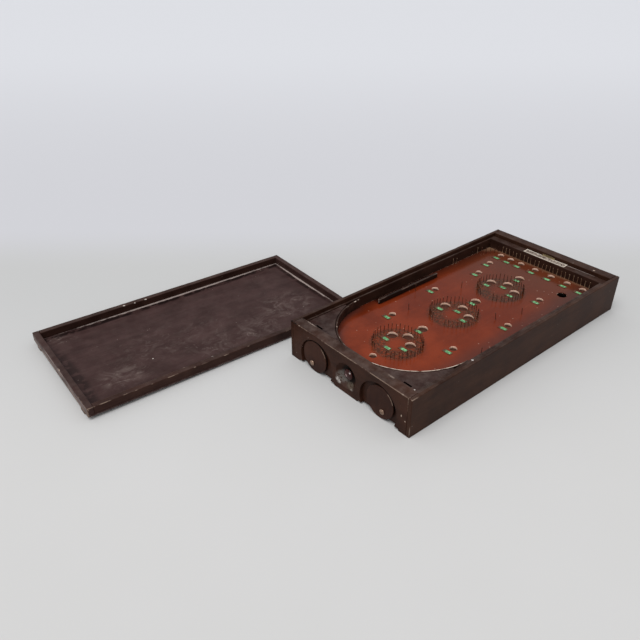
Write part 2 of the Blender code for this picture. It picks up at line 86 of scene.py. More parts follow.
LOOSE_NAILS = (
    (0.635, 0.467), (0.367, 0.396), (0.451, -0.497), (0.351, -0.645),
    (0.654, -0.888), (0.519, 0.775), (0.246, 0.970), (0.229, 0.970),
)
RECESS_RADIUS = 0.054
RECESS_INWARD = 0.014
RECESS_UP = 0.009
RECESS_FLOOR = 0.0072
RECESS_RIM = (0.0055, 0.003)
FOOT_CUT_MARGIN = 0.0065
FOOT_CUT_HEIGHT = 0.005
SCREW_BORE = 0.0029
SCREW_BORE_DEPTH = 0.0261
SCREW_SHAFT = 0.0025
SCREW_HEAD = 0.0064
SCREW_HEAD_HEIGHT = 0.003
SCREW_DOME = 0.0026
SCREW_SLOT = (0.008, 0.0006, 0.0012)
SCREW_TURNS = {"back": radians(35), "front": radians(-20)}
DISH_RADIUS = 0.0316
DISH_DEPTH = 0.017
CUE_BORE = 0.0049
CUE_TIP = 0.006
KNOB_PROFILE = (
    (0.0, 0.0), (0.006, 0.18), (0.02, 0.34), (0.055, 0.52), (0.11, 0.69), (0.18, 0.83), (0.26, 0.93),
    (0.34, 0.985), (0.41, 1.0), (0.48, 0.99), (0.54, 0.95), (0.60, 0.87), (0.66, 0.76), (0.72, 0.65),
    (0.79, 0.575), (0.87, 0.535), (1.0, 0.508), (1.0, 0.376), (0.37, 0.376), (0.37, 0.0),
)
LID_LENGTH = 0.7036
LID_WIDTH = 0.3566
LID_HEIGHT = 0.022
LID_PANEL = 0.004
LID_RAIL = 0.014
LID_OFFSET = 0.101
LID_STANDOFF = 0.047
LID_YAW = radians(-3)
TAB_LENGTH = 0.020
TAB_THICKNESS = 0.0034
TAB_DROP = 0.008
TAB_SPREAD = 0.143
SLOT_LENGTH = 0.021
SLOT_WIDTH = 0.0048
SLOT_DEPTH = 0.0065
SLOT_SPREAD = 0.137
SLOT_INSET = 0.0145
LABEL_RIM = (0.0018, 0.0004, 0.0026)
LABEL_CLEAN = (0.0037, 0.0066)
LABEL_CURL = 0.0011
LABEL_SHIFT = (0.0020, 0.0012)
LEDGE_DROP = 0.010
NUMERAL_SIZE = 0.0066
NUMERAL_THICKNESS = 0.00006
SCORES = (
    "75", "75", "150", "50", "50", "50", "100", "30", "40", "40", "80", "20",
    "25", "25", "20", "20", "15", "15", "10", "5", "10", "15", "20", "15", "10", "5",
)
END_LABEL_MARGIN = 0.0034
END_LABEL_CURL = 0.0012
BORDER_INSET = 0.0031
BORDER_WIDTH = 0.0004
BORDER_HEIGHT = 0.00005
BORDER_POINTS = 24
TORN_INSET = 0.0022
TORN_RUN = (-0.020, 0.017)
TORN_RADIUS = 0.0030
TORN_SWEEP = radians(190)
TORN_THICKNESS = 0.0002

# Edges, and what counts as sharp, flat or touching
BOARD_EDGE = 0.0011
RAIL_EDGE = 0.0013
LINING_BACK_EDGE = 0.0009
PANEL_EDGE = 0.0006
END_RAIL_EDGE = 0.0012
RECESS_EDGE = 0.0005
STRIP_EDGE = 0.0012
BLOCK_EDGE = 0.0007
DISC_EDGE = 0.0009
SCREW_EDGE = 0.00012
EDGE_SPILL = 0.0016
SPILL_SHARE = 0.45
CHIP_SHARE = 0.45
SHARP = radians(32)
COPLANAR = radians(0.4)
CURVE_BEND = (radians(0.5), radians(10))
CURVE_SHARE = 0.3
BROAD_FACE = 0.0008
WELD = 2e-6
TOUCH = 1e-5
OVERRUN = 0.002
CLEAR = 0.01

# Wear, and the strip's painted highlight
OUTER_MARGIN = 0.002
INNER_WEAR = 0.58
NEAR_CORNER_REACH = 0.045
LID_CORNER_REACH = 0.10
RUB_HIGHLIGHT_TURN = 3.735
RUBBED_AND_LIT = (2.85, 4.62)
BROAD_MARK = 0.2

# Colours that several pieces share
BROWN = ((43, 23, 15), (66, 41, 29))
INNER_BROWN = ((39, 22, 16), (64, 41, 32))
CHIP = (186, 164, 146)
LID_CHIP = (214, 202, 192)
# Near-black chips: painted shade of the shaded step or gap that a chip opens onto
SHADED_CHIP = (14, 9, 8)

# Camera fitted to the photograph, and the light
PHOTO_SIZE = 640
FOCAL_PIXELS = 662.541
SENSOR = 36.0
CAMERA_PLACE = (-1.14520, -0.82789, 0.90144)
CAMERA_RIGHT = (0.76510, -0.64391, -0.00264)
CAMERA_UP = (0.34647, 0.40822, 0.84458)
CAMERA_BACK = (-0.54276, -0.64710, 0.53542)
FLOOR_FORWARD = (0.6427, 0.7661)
FLOOR_REACH = 14.0
SKY_COLOUR = (0.80, 0.81, 0.83, 1.0)
SKY_STRENGTH = 0.70
LAMP_ENERGY = 1.55
LAMP_ANGLE = radians(42)
LAMP_AIM = (0.40, 0.10, -1.0)


def middle_of(node):
    """Middle of a CAD node's box, as x, y and z."""
    return [(low + high) / 2 for low, high in zip(*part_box(node))]


half_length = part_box("side_rail_front")[1].x
half_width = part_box("side_rail_back")[1].y
box_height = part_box("side_rail_back")[1].z
round_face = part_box("round_end_rail")[1].x
field_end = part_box("lining_square_end")[0].x
field_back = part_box("lining_back")[0].y
field_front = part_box("lining_front")[1].y
field_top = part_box("lane_rail")[0].z - GAP
field_middle = (field_back + field_front) / 2
field_half = (field_back - field_front) / 2
field_length = field_end - round_face - ARC_SETBACK
arc_outer = (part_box("arc_strip")[1].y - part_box("arc_strip")[0].y) / 2
arc_inner = arc_outer - ARC_STRIP
arc_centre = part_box("arc_strip")[1].x
_pivot_x, pivot_y, pivot_z = middle_of("pivot_screw_back")
cue_z = middle_of("cue_shaft")[2]
lid_end = LID_LENGTH / 2
lid_side = LID_WIDTH / 2
lid_inner_end = lid_end - LID_RAIL
lid_inner_side = lid_side - LID_RAIL
paints = {}


# Materials


def rgb(red, green, blue):
    """A linear colour from display values of 0 to 255."""
    def line(value):
        share = value / 255
        return share / 12.92 if share <= 0.04045 else ((share + 0.055) / 1.055) ** 2.4
    return (line(red), line(green), line(blue), 1.0)


class Graph:
    """A material, its colour so far and short ways to add nodes to it."""

    def __init__(self, name):
        self.material = bpy.data.materials.new(name)
        self.material.use_nodes = True
        self.tree = self.material.node_tree
        self.shader = self.tree.nodes["Principled BSDF"]
        coords = self.tree.nodes.new("ShaderNodeTexCoord")
        self.place = coords.outputs["Object"]
        self.normal = coords.outputs["Normal"]
        split = self.tree.nodes.new("ShaderNodeSeparateXYZ")
        self.put(split.inputs[0], self.place)
        self.x, self.y, self.z = split.outputs

    def put(self, socket, value):
        if isinstance(value, bpy.types.NodeSocket):
            self.tree.links.new(value, socket)
        else:
            socket.default_value = value

    def add(self, kind, inputs, output=0, **settings):
        node = self.tree.nodes.new("ShaderNode" + kind)
        for key, value in settings.items():
            setattr(node, key, value)
        for key, value in inputs.items():
            self.put(node.inputs[key], value)
        return node.outputs[output]

    def math(self, operation, first, second=0.0):
        return self.add("Math", {0: first, 1: second}, operation=operation)

    def plus(self, first, second):
        return self.math("ADD", first, second)

    def less(self, first, second):
        return self.math("SUBTRACT", first, second)

    def most(self, first, second):
        return self.math("MAXIMUM", first, second)

    def times(self, *values):
        result = values[0]
        for value in values[1:]:
            result = self.math("MULTIPLY", result, value)
        return result

    def blend(self, *weighted):
        """The sum of values, each given with its weight."""
        result = self.times(*weighted[0])
        for pair in weighted[1:]:
            result = self.plus(result, self.times(*pair))
        return result

    def mapped(self, scale, location=(0.0, 0.0, 0.0), rotation=(0.0, 0.0, 0.0)):
        values = {"Vector": self.place, "Scale": scale, "Location": location, "Rotation": rotation}
        return self.add("Mapping", values)

    def noise(self, scale, detail=3.0, rough=0.5, offset=(0.0, 0.0, 0.0), twist=0.0, turn=(0.0, 0.0, 0.0)):
        """Noise whose scale is a number, or one number an axis."""
        scale = (scale,) * 3 if isinstance(scale, (int, float)) else scale
        values = {"Vector": self.mapped(scale, offset, turn), "Scale": 1.0, "Detail": detail}
        return self.add("TexNoise", {**values, "Roughness": rough, "Distortion": twist})

    def band(self, value, low, high):
        """0 below low, 1 above high, smooth between, or the other way round."""
        values = {"Value": value, "From Min": low, "From Max": high}
        return self.add("MapRange", values, interpolation_type="SMOOTHSTEP")

    def span(self, value, low, high):
        """A share of 0 to 1 brought to a range."""
        return self.add("MapRange", {"Value": value, "To Min": low, "To Max": high})

    def mix(self, share, first, second):
        return self.add("Mix", {0: share, 6: first, 7: second}, 2, data_type="RGBA")

    def base(self, share, first, second):
        """Start the colour as a mix of two."""
        self.colour = self.mix(share, rgb(*first), rgb(*second))

    def paint(self, share, tint, amount=1.0):
        """Lay a tint over the colour."""
        self.colour = self.mix(self.times(share, amount), self.colour, rgb(*tint))

    def top(self):
        """1 on faces that look up."""
        return self.band(self.add("SeparateXYZ", {0: self.normal}, 2), 0.55, 0.9)

    def edge(self):
        return self.add("Attribute", {}, 2, attribute_name="edge")

    def patch(self, centre, radii, soft=0.5):
        """1 near a place, 0 beyond an ellipsoid round it."""
        scale = tuple(1 / radius for radius in radii)
        moved = tuple(-c / radius for c, radius in zip(centre, radii))
        reach = self.add("VectorMath", {0: self.mapped(scale, moved)}, 1, operation="LENGTH")
        return self.band(reach, 1.0, 1.0 - soft)

    def reach(self, centre):
        """Distance from a place."""
        moved = self.add("VectorMath", {0: self.place, 1: centre}, operation="SUBTRACT")
        return self.add("VectorMath", {0: moved}, 1, operation="LENGTH")

    def specks(self, scale, size, spread, share):
        """Small round dots in some places."""
        cells = self.add("TexVoronoi", {"Vector": self.mapped((scale,) * 3), "Scale": 1.0})
        some = self.noise(spread, 2.0, 0.5, (9.0, 1.0, 3.0))
        return self.times(self.band(cells, *size), self.band(some, *share))

    def finish(self, roughness, height=None, strength=0.0, distance=0.0, **constants):
        self.put(self.shader.inputs["Base Color"], self.colour)
        self.put(self.shader.inputs["Roughness"], roughness)
        if height is not None:
            values = {"Height": height, "Strength": strength, "Distance": distance}
            self.put(self.shader.inputs["Normal"], self.add("Bump", values))
        for key, value in constants.items():
            self.shader.inputs[key.replace("_", " ")].default_value = value
        return self.material


def along(axis, fine, across):
    """Noise scales of a grain that runs along an axis."""
    return tuple(fine if index == axis else across for index in range(3))


def varnished(
    name, axis, dark, light, dust=0.12, bare=(158, 137, 121), under=(102, 82, 71), gloss=(0.38, 0.56),
    shine=0.09, clouds=(), shade_bands=(), lines=(), marks=(), painted_shade=None, rub_and_highlight=None,
):
    """Dark stained and varnished wood with grain, scuffs, dust on top, chips and worn edges, and painted
    shade in deep parts and in bands where it is asked for.
    """
    g = Graph(name)
    grain = g.noise(along(axis, 14, 620), 5.0, 0.6)
    figure = g.noise(along(axis, 5, 60), 3.0, 0.55, (3.1, 1.7, 0.4), 0.6)
    blotch = g.noise(16, 4.0, 0.6, (0.7, 5.2, 1.9))
    g.base(g.band(g.blend((grain, 0.14), (figure, 0.32), (blotch, 0.66)), 0.36, 0.80), dark, light)
    scratches = g.noise((26, 210, 210), 4.0, 0.65, (1.2, 0.3, 0.8), 0.3, (0.0, 0.0, 0.5))
    scuffs = g.times(g.band(scratches, 0.60, 0.74), g.band(blotch, 0.42, 0.62))
    g.paint(scuffs, (112, 90, 79), 0.15)
    # Painted shade: near-black beyond a depth along X and below a level
    if painted_shade is not None:
        begin, full, level = painted_shade
        g.paint(g.times(g.band(g.x, begin, full), g.band(g.z, level, level - 0.002)), (12, 8, 7), 0.8)
    top = g.top()
    film = g.times(top, g.band(g.noise(38, 5.0, 0.65, (4.0, 2.0, 7.0)), 0.30, 0.78), dust)
    for centre, radii, amount in clouds:
        soft = g.band(g.noise(19, 5.0, 0.6, centre, 1.8), 0.40, 0.76)
        wisps = g.band(g.noise((26, 44, 44), 6.0, 0.60, centre, 3.4, (0.0, 0.0, 0.6)), 0.55, 0.74)
        cloud = g.blend((soft, 0.42), (wisps, 0.58))
        film = g.most(film, g.times(g.patch(centre, radii, 0.9), cloud, top, amount))
    g.paint(film, (146, 131, 124))
    # Painted shade: dark, broken bands beside inner walls
    for centre, radii, amount in shade_bands:
        ragged_shade = g.band(g.noise((34, 60, 60), 4.0, 0.6, centre), 0.38, 0.50)
        g.paint(g.times(g.patch(centre, radii, 0.6), ragged_shade, top), (26, 15, 14), amount)
    for centre, radii, amount in lines:
        strip = g.patch(centre, radii, 0.95)
        ragged = g.plus(strip, g.span(g.noise(75, 5.0, 0.65, centre), -0.5, 0.5))
        heaped = g.times(g.band(ragged, 0.34, 0.80), g.band(strip, 0.02, 0.20), top)
        g.paint(heaped, (176, 160, 153), amount)
    g.paint(g.specks(95, (0.09, 0.05), 30, (0.60, 0.66)), (176, 164, 152), 0.75)
    for centre, radii, tint, amount in marks:
        if max(radii) < BROAD_MARK:
            broken = g.band(g.noise(300, 3.0, 0.6, centre), 0.36, 0.50)
        else:
            broken = g.band(g.noise((60, 16, 150), 5.0, 0.65, centre), 0.36, 0.66)
        g.paint(g.times(g.patch(centre, radii), broken), tint, amount)
    fray = g.blend((g.noise(24, 3.0, 0.6), 1.2), (g.noise(260, 4.0, 0.7), 0.9))
    worn = g.band(g.times(g.edge(), fray), 0.52, 0.74)
    if rub_and_highlight is not None:
        worn = g.most(worn, rub_and_highlight(g))
    g.colour = g.mix(g.times(worn, 0.9), g.colour, g.mix(grain, rgb(*bare), rgb(*under)))
    rough = g.plus(g.span(g.blend((blotch, 0.6), (grain, 0.4)), *gloss), g.blend((film, 0.5), (worn, 0.2)))
    height = g.blend((grain, 0.6), (worn, -0.8), (scuffs, -0.3))
    return g.finish(rough, height, 0.35, 0.0004, Specular_IOR_Level=shine)


def strip_rub_and_highlight(g):
    """A bare line along the bent strip's inner upper edge, round its near half, which is also a painted
    highlight.
    """
    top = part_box("arc_strip")[1].z
    away = g.reach((arc_centre, field_middle, top))
    inward = g.band(away, arc_inner + 0.0031, arc_inner + 0.0020)
    rim = g.times(inward, g.band(g.z, top - 0.0028, top - 0.0014))
    aim = g.blend(
        (g.less(g.x, arc_centre), cos(RUB_HIGHLIGHT_TURN) / arc_inner),
        (g.less(g.y, field_middle), sin(RUB_HIGHLIGHT_TURN) / arc_inner),
    )
    return g.times(rim, g.band(aim, 0.60, 0.74), g.band(g.noise(70, 4.0, 0.65), 0.40, 0.50))


def playfield_paint(rings):
    """Red-brown varnished facing with streaks, painted light across it, painted shade along its walls, in the
    nail rings and on the lane, and a dusty far corner.
    """
    g = Graph("playfield_red_brown")
    grain = g.noise((9, 420, 420), 5.0, 0.6)
    figure = g.noise((3.2, 34, 34), 4.0, 0.6, (2.0, 0.6, 0.0), 0.8)
    blotch = g.noise(11, 4.0, 0.6, (5.0, 0.2, 0.0))
    tone = g.blend((grain, 0.08), (figure, 0.30), (blotch, 0.66))
    g.base(g.band(tone, 0.34, 0.80), (103, 37, 15), (127, 50, 23))
    # Painted light: brighter towards the round end, duller and greyer towards the square end
    g.paint(g.times(g.band(g.x, 0.18, -0.30), g.band(blotch, 0.25, 0.70)), (145, 58, 28), 0.5)
    g.paint(g.band(g.x, 0.02, 0.30), (84, 48, 32), 0.65)
    across = g.math("ABSOLUTE", g.less(g.y, field_middle))
    # Painted shade along both long walls
    side_shade = g.times(g.band(across, field_half - 0.028, field_half), g.band(blotch, 0.2, 0.7))
    g.paint(side_shade, (54, 24, 16), 0.5)
    # Painted shade where the back wall shades the field
    g.paint(g.band(g.y, field_back - 0.040, field_back - 0.012), (52, 20, 13), 0.42)
    # Painted shade, greyish, beside the front wall and round the bent strip
    near_wall_shade = g.band(g.y, field_front + 0.066, field_front + 0.024)
    away = g.reach((arc_centre, field_middle, field_top))
    round_end_shade = g.times(
        g.band(away, arc_outer - 0.030, arc_outer - 0.002), g.band(g.x, arc_centre + 0.02, arc_centre - 0.02),
    )
    g.paint(g.most(near_wall_shade, round_end_shade), (66, 42, 38), 0.55)
    for spot in rings:
        away = g.reach(spot)
        ring = g.times(g.band(away, 0.010, 0.038), g.band(away, RING_RADIUS + 0.012, RING_RADIUS - 0.004))
        # Painted shade and reflections of the dense nails inside each ring, then pale specks
        g.paint(g.times(ring, g.band(g.noise(190, 4.0, 0.7, spot), 0.34, 0.56)), (56, 34, 19), 0.85)
        g.paint(g.times(ring, g.band(g.noise(520, 2.0, 0.5, spot), 0.60, 0.70)), (150, 112, 84), 0.75)
    tracks = g.band(g.noise((22, 130, 130), 5.0, 0.7, (0.4, 8.0, 0.0), 0.5, (0.0, 0.0, 0.25)), 0.60, 0.72)
    g.paint(tracks, (168, 94, 64), 0.12)
    low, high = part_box("lane_rail")
    # Painted shade on the lane floor between the lane rail and the back wall
    behind = g.times(
        g.band(g.y, low.y - 0.004, high.y), g.band(g.x, low.x - 0.004, low.x + 0.012),
        g.band(g.x, high.x + 0.004, high.x - 0.012),
    )
    g.paint(behind, (26, 10, 7), 0.85)
    at_end = g.band(g.x, field_end - 0.014, field_end - 0.006)
    g.paint(g.times(at_end, g.span(g.noise(120, 4.0, 0.6), 0.35, 1.0)), (124, 94, 72), 0.7)
    corner = g.patch((field_end, field_back, field_top), (0.045, 0.030, 0.02), 0.8)
    g.paint(g.times(corner, g.span(blotch, 0.4, 0.9)), (142, 112, 88))
    g.paint(g.specks(70, (0.12, 0.07), 24, (0.50, 0.58)), (196, 160, 140), 0.5)
    fray = g.blend((g.noise(60, 3.0), 1.0), (g.noise(420, 3.0), 0.9))
    # Worn edges, with a painted highlight on the far side of each pocket's lip
    worn = g.band(g.times(g.edge(), fray), 0.50, 0.80)
    g.paint(worn, (238, 196, 174), 0.9)
    rough = g.plus(g.span(blotch, 0.10, 0.20), g.blend((side_shade, 0.1), (worn, 0.3)))
    height = g.blend((grain, 0.3), (worn, -0.6), (tracks, -0.2))
    return g.finish(rough, height, 0.03, 0.0002, Specular_IOR_Level=0.125)


def bare_wood(name, axis, dark, light, dirt_and_shade_below=None, shade_before=None):
    """Unvarnished softwood, with dirt and painted shade in the bottom of the pockets, or painted shade over
    one end.
    """
    g = Graph(name)
    grain = g.noise(along(axis, 12, 500), 5.0, 0.65)
    rings = g.noise(along(axis, 3, 70), 3.0, 0.5, (1.0, 4.0, 2.0), 1.2)
    g.base(g.band(g.blend((grain, 0.5), (rings, 0.5)), 0.34, 0.68), dark, light)
    if dirt_and_shade_below is not None:
        # Dirt and painted shade towards the floor of each pocket
        low = g.band(g.z, dirt_and_shade_below + 0.0044, dirt_and_shade_below + 0.0010)
        g.paint(g.times(low, g.span(g.noise(160, 3.0), 0.95, 1.0)), (66, 30, 18))
    # Painted shade over the part of the shaft inside the end rail
    if shade_before is not None:
        g.paint(g.band(g.x, shade_before + 0.004, shade_before), (38, 20, 15))
    return g.finish(g.span(grain, 0.35, 0.6), grain, 0.3, 0.0003, Specular_IOR_Level=0.18)


def slot_grime():
    """Painted shade: near-black inside a slot and the ball hole."""
    g = Graph("slot_grime")
    grit = g.noise(300, 4.0, 0.6)
    g.base(grit, (9, 6, 5), (24, 17, 14))
    return g.finish(g.span(grit, 0.8, 1.0), Specular_IOR_Level=0.05)


def old_metal(name, clean, stained, share, metallic):
    """Dull metal with stains."""
    g = Graph(name)
    stain = g.noise(420, 4.0, 0.65)
    broad = g.noise(40, 3.0, 0.5, (2.0, 2.0, 5.0))
    mask = g.band(g.blend((stain, 0.5), (broad, 0.5)), share - 0.12, share + 0.12)
    g.base(mask, clean, stained)
    fine = g.span(g.blend((stain, 0.7), (mask, 0.3)), 0.25, 0.45)
    return g.finish(fine, stain, 0.25, 0.0002, Metallic=metallic)


def paper_base(g, scale, share, faded, pale):
    """Start a faded paper, and give its fibres, its fading and its ragged edge."""
    fibre = g.noise((900, 420, 900), 3.0, 0.6)
    fade = g.noise(scale, 4.0, 0.6, (3.0, 1.0, 0.0))
    g.base(g.band(g.blend((fibre, 0.35), (fade, 0.65)), *share), faded, pale)
    return fibre, fade, g.times(g.edge(), g.span(g.noise(300, 3.0), 0.5, 1.5))


def paper(name, pale, faded, stained):
    """Matt paper with fibres, fading and stains."""
    g = Graph(name)
    fibre, _fade, ragged = paper_base(g, 130, (0.35, 0.68), faded, pale)
    stain = g.band(g.noise(75, 4.0, 0.65, (8.0, 5.0, 0.0)), 0.56, 0.74)
    g.paint(g.most(g.times(stain, 0.5), g.times(g.band(ragged, 0.30, 0.80), 0.9)), stained)
    return g.finish(0.85, fibre, 0.2, 0.0001)


def label_paper():
    """Green paper that is clean in its middle, mottled round it and rubbed away at its rim."""
    g = Graph("green_paper")
    fibre, fade, ragged = paper_base(g, 170, (0.38, 0.64), (76, 144, 86), (148, 212, 154))
    mottle = g.mix(g.band(g.noise(520, 3.0, 0.6), 0.40, 0.58), rgb(48, 46, 26), rgb(84, 96, 58))
    mottle = g.mix(g.band(g.noise(700, 2.0, 0.5, (5.0, 1.0, 0.0)), 0.58, 0.66), mottle, rgb(150, 118, 94))
    g.colour = g.mix(g.band(ragged, 0.34, 0.62), g.colour, mottle)
    g.paint(g.band(ragged, 1.0, 1.5), (92, 40, 26), 0.85)
    return g.finish(g.span(fade, 0.6, 0.9), fibre, 0.2, 0.0001)


def ink():
    """Printed ink, slightly broken."""
    g = Graph("printed_ink")
    fade = g.noise(700, 3.0, 0.6)
    g.base(g.band(fade, 0.42, 0.70), (22, 26, 22), (52, 74, 56))
    return g.finish(g.span(fade, 0.5, 0.8))


def faded_print():
    """The worn grey print of the end label, in lines that say nothing."""
    g = Graph("faded_print")
    lines = g.noise((620, 240, 200), 2.0, 0.5, (0.0, 3.0, 0.0))
    wear = g.noise(60, 4.0, 0.7, (6.0, 2.0, 0.0))
    g.base(g.band(wear, 0.36, 0.66), (66, 50, 44), (100, 82, 73))
    g.paint(g.times(g.band(lines, 0.48, 0.58), g.band(wear, 0.75, 0.35)), (216, 198, 182), 0.9)
    return g.finish(g.span(wear, 0.7, 0.9))


# Meshes


def chipped(point):
    """How deep an edge is chipped at a point, 0 to 1."""
    rough = noise.noise(point * 52) + 0.7 * noise.noise(point * 190 + Vector((7.0, 3.0, 1.0)))
    return min(1.0, max(0.0, (rough - 0.22) * 1.7))


def even(_spot):
    """Edge wear that is the same all over."""
    return 1.0


def inner_wear(_spot):
    return INNER_WEAR


def skin(bm, rings, around=False):
    """Faces between rings of points or single points, closed at both ends or round to the first."""
    made = []
    for first, second in zip(rings, rings[1:] + (rings[:1] if around else [])):
        count = max(len(first), len(second))
        for k in range(count):
            m = (k + 1) % count
            corners = [first[k % len(first)], first[m % len(first)]]
            corners += [second[m % len(second)], second[k % len(second)]]
            made.append(bm.faces.new(list(dict.fromkeys(corners))))
    if not around:
        made += [bm.faces.new(end) for end in (rings[0][::-1], rings[-1]) if len(end) > 1]
    bmesh.ops.recalc_face_normals(bm, faces=made)
    return bm


def board_section(a, b, edge, spill):
    """Closed section of a board with rounded corners, as (u, v, is on a corner) points."""
    points = []
    for corner, (sign_u, sign_v) in enumerate(((1, 1), (-1, 1), (-1, -1), (1, -1))):
        turns = [pi / 2 * (corner + step / 3) for step in range(4)]
        points.append((sign_u * a - spill * cos(turns[-1]), sign_v * b - spill * sin(turns[-1]), False))
        for turn in turns:
            u = sign_u * (a - edge) + edge * cos(turn)
            v = sign_v * (b - edge) + edge * sin(turn)
            points.append((u, v, True))
        points.append((sign_u * a - spill * cos(turns[0]), sign_v * b - spill * sin(turns[0]), False))
    return points


def board_stations(reach, edge, spill, step):
    """Places along a board, as (distance from its middle, inset of the section, is on an end) rows."""
    turns = [pi / 6 * index for index in range(4)]
    ends = [(reach - edge + edge * sin(turn), edge * (1 - cos(turn)), True) for turn in turns]
    count = max(2, int(2 * (reach - spill) / step))
    run = [(-reach + spill + 2 * (reach - spill) * index / count, 0.0, False) for index in range(count + 1)]
    rows = [(-at, inset, worn) for at, inset, worn in reversed(ends)] + run + ends
    return [(-reach, spill, False)] + rows + [(reach, spill, False)]


def board_mesh(low, high, edge=BOARD_EDGE, wear=even, step=0.006, bend=None, share=0.3):
    """A board between two corners: rounded, slightly chipped edges, and how worn they are as "edge"."""
    low = Vector(low)
    high = Vector(high)
    middle = (low + high) / 2
    half = (high - low) / 2
    axis = max(range(3), key=lambda index: half[index])
    second = (axis + 1) % 3
    third = (axis + 2) % 3
    thin = min(half[second], half[third])
    edge = min(edge, share * thin)
    spill = min(EDGE_SPILL, edge + SPILL_SHARE * (thin - edge))
    bm = bmesh.new()
    layer = bm.verts.layers.float.new("edge")
    rings = []
    for at, inset, at_end in board_stations(half[axis], edge, spill, step):
        ring = []
        for u, v, on_corner in board_section(half[second] - inset, half[third] - inset, edge, spill):
            point = Vector((0.0, 0.0, 0.0))
            point[axis] = at
            point[second] = u
            point[third] = v
            spot = middle + point
            worn = 0.0
            if on_corner or at_end:
                chip = chipped(spot) * min(1.0, wear(spot))
                worn = wear(spot) * (0.5 + 0.5 * chip)
                if on_corner and inset < edge:
                    inward = Vector((0.0, 0.0, 0.0))
                    inward[second] = -1.0 if u > 0 else 1.0
                    inward[third] = -1.0 if v > 0 else 1.0
                    spot = spot + inward * (CHIP_SHARE * edge * chip)
            vert = bm.verts.new(bend(spot) if bend else spot)
            vert[layer] = worn
            ring.append(vert)
        rings.append(ring)
    return skin(bm, rings)


def prism_mesh(outline, low, high, along_x=False):
    """An outline pushed along Z, or along X with points of y and z."""
    bm = bmesh.new()
    ends = []
    for level in (low, high):
        ends.append([bm.verts.new((level, u, v) if along_x else (u, v, level)) for u, v in outline])
    bm.faces.new(list(reversed(ends[0])))
    bm.faces.new(ends[1])
    for index in range(len(outline)):
        other = (index + 1) % len(outline)
        bm.faces.new((ends[0][index], ends[0][other], ends[1][other], ends[1][index]))
    bmesh.ops.recalc_face_normals(bm, faces=bm.faces)
    return bm


def box_outline(low, high):
    return [(low[0], low[1]), (high[0], low[1]), (high[0], high[1]), (low[0], high[1])]


def circle(centre, radius, sides):
    turns = [2 * pi * step / sides for step in range(sides)]
    return [(centre[0] + radius * cos(turn), centre[1] + radius * sin(turn)) for turn in turns]


def lathe_mesh(profile, sides, matrix, bm=None):
    """A turned solid about X from (x, radius) points, closed at both ends."""
    bm = bm or bmesh.new()
    rings = []
    for x, radius in profile:
        turns = range(sides) if radius > 1e-7 else range(1)
        spots = [(x, radius * cos(2 * pi * t / sides), radius * sin(2 * pi * t / sides)) for t in turns]
        rings.append([bm.verts.new(matrix @ Vector(spot)) for spot in spots])
    return skin(bm, rings)


def join_meshes(parts):
    """One bmesh from several, which are freed."""
    whole = bmesh.new()
    for part in parts:
        mesh = bpy.data.meshes.new("join")
        part.to_mesh(mesh)
        part.free()
        whole.from_mesh(mesh)
        bpy.data.meshes.remove(mesh)
    return whole


def place_mesh(name, bm):
    """An object in the scene from a bmesh, which is freed."""
    mesh = bpy.data.meshes.new(name)
    bm.to_mesh(mesh)
    bm.free()
    thing = bpy.data.objects.new(name, mesh)
    bpy.context.scene.collection.objects.link(thing)
    return thing


def evaluated_mesh(thing):
    """A bmesh of an object with its modifiers applied."""
    mesh = bpy.data.meshes.new_from_object(thing.evaluated_get(bpy.context.evaluated_depsgraph_get()))
    bm = bmesh.new()
    bm.from_mesh(mesh)
    bpy.data.meshes.remove(mesh)
    return bm


def cut(bm, cutters):
    """A bmesh with others cut out of it."""
    base = place_mesh("cut_base", bm)
    things = [base]
    for cutter in cutters:
        tool = place_mesh("cut_tool", cutter)
        modifier = base.modifiers.new("cut", "BOOLEAN")
        modifier.object = tool
        modifier.operation = "DIFFERENCE"
        modifier.solver = "EXACT"
        things.append(tool)
    result = evaluated_mesh(base)
    for thing in things:
        old = thing.data
        bpy.data.objects.remove(thing)
        bpy.data.meshes.remove(old)
    bmesh.ops.remove_doubles(result, verts=result.verts, dist=WELD)
    bmesh.ops.dissolve_limit(
        result, angle_limit=COPLANAR, verts=result.verts, edges=result.edges, use_dissolve_boundaries=False,
    )
    return result


def soften(bm, width, segments=2, wear=even, chosen=None):
    """Round the sharp edges of a bmesh, or those with both ends chosen, and mark them as "edge"."""
    sharp = [
        edge for edge in bm.edges
        if len(edge.link_faces) == 2 and edge.calc_face_angle(0.0) > SHARP
        and (chosen is None or all(chosen(vert.co) for vert in edge.verts))
    ]
    made = bmesh.ops.bevel(
        bm, geom=sharp, offset=width, segments=segments, profile=0.5, affect="EDGES", clamp_overlap=True,
    )
    layer = bm.loops.layers.float.get("edge") or bm.loops.layers.float.new("edge")
    for face in made["faces"]:
        for loop in face.loops:
            spot = loop.vert.co
            loop[layer] = wear(spot) * (0.55 + 0.45 * chipped(spot))
    return bm


def is_flat(face):
    """True for a broad face that isn't a step of a curve, so that rounded edges beside it don't tint it."""
    perimeter = face.calc_perimeter()
    joined = [edge for edge in face.edges if len(edge.link_faces) == 2]
    bent = [edge for edge in joined if CURVE_BEND[0] < edge.calc_face_angle(0.0) < CURVE_BEND[1]]
    curved = sum(edge.calc_length() for edge in bent) >= CURVE_SHARE * perimeter
    return face.calc_area() > BROAD_FACE * perimeter and not curved


def piece(name, bm, paint, node, body="board", matrix=None, angle=35):
    """A finished piece that rides a body and stands for a CAD node, with its paints named in one text."""
    bmesh.ops.recalc_face_normals(bm, faces=bm.faces)
    flat = [is_flat(face) for face in bm.faces]
    thing = place_mesh(name, bm)
    for key in paint.split():
        thing.data.materials.append(paints[key])
    thing.data.set_sharp_from_angle(angle=radians(angle))
    thing.data.polygons.foreach_set("use_smooth", [not level for level in flat])
    if matrix is not None:
        thing.matrix_world = matrix
    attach(thing, body)
    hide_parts(node)


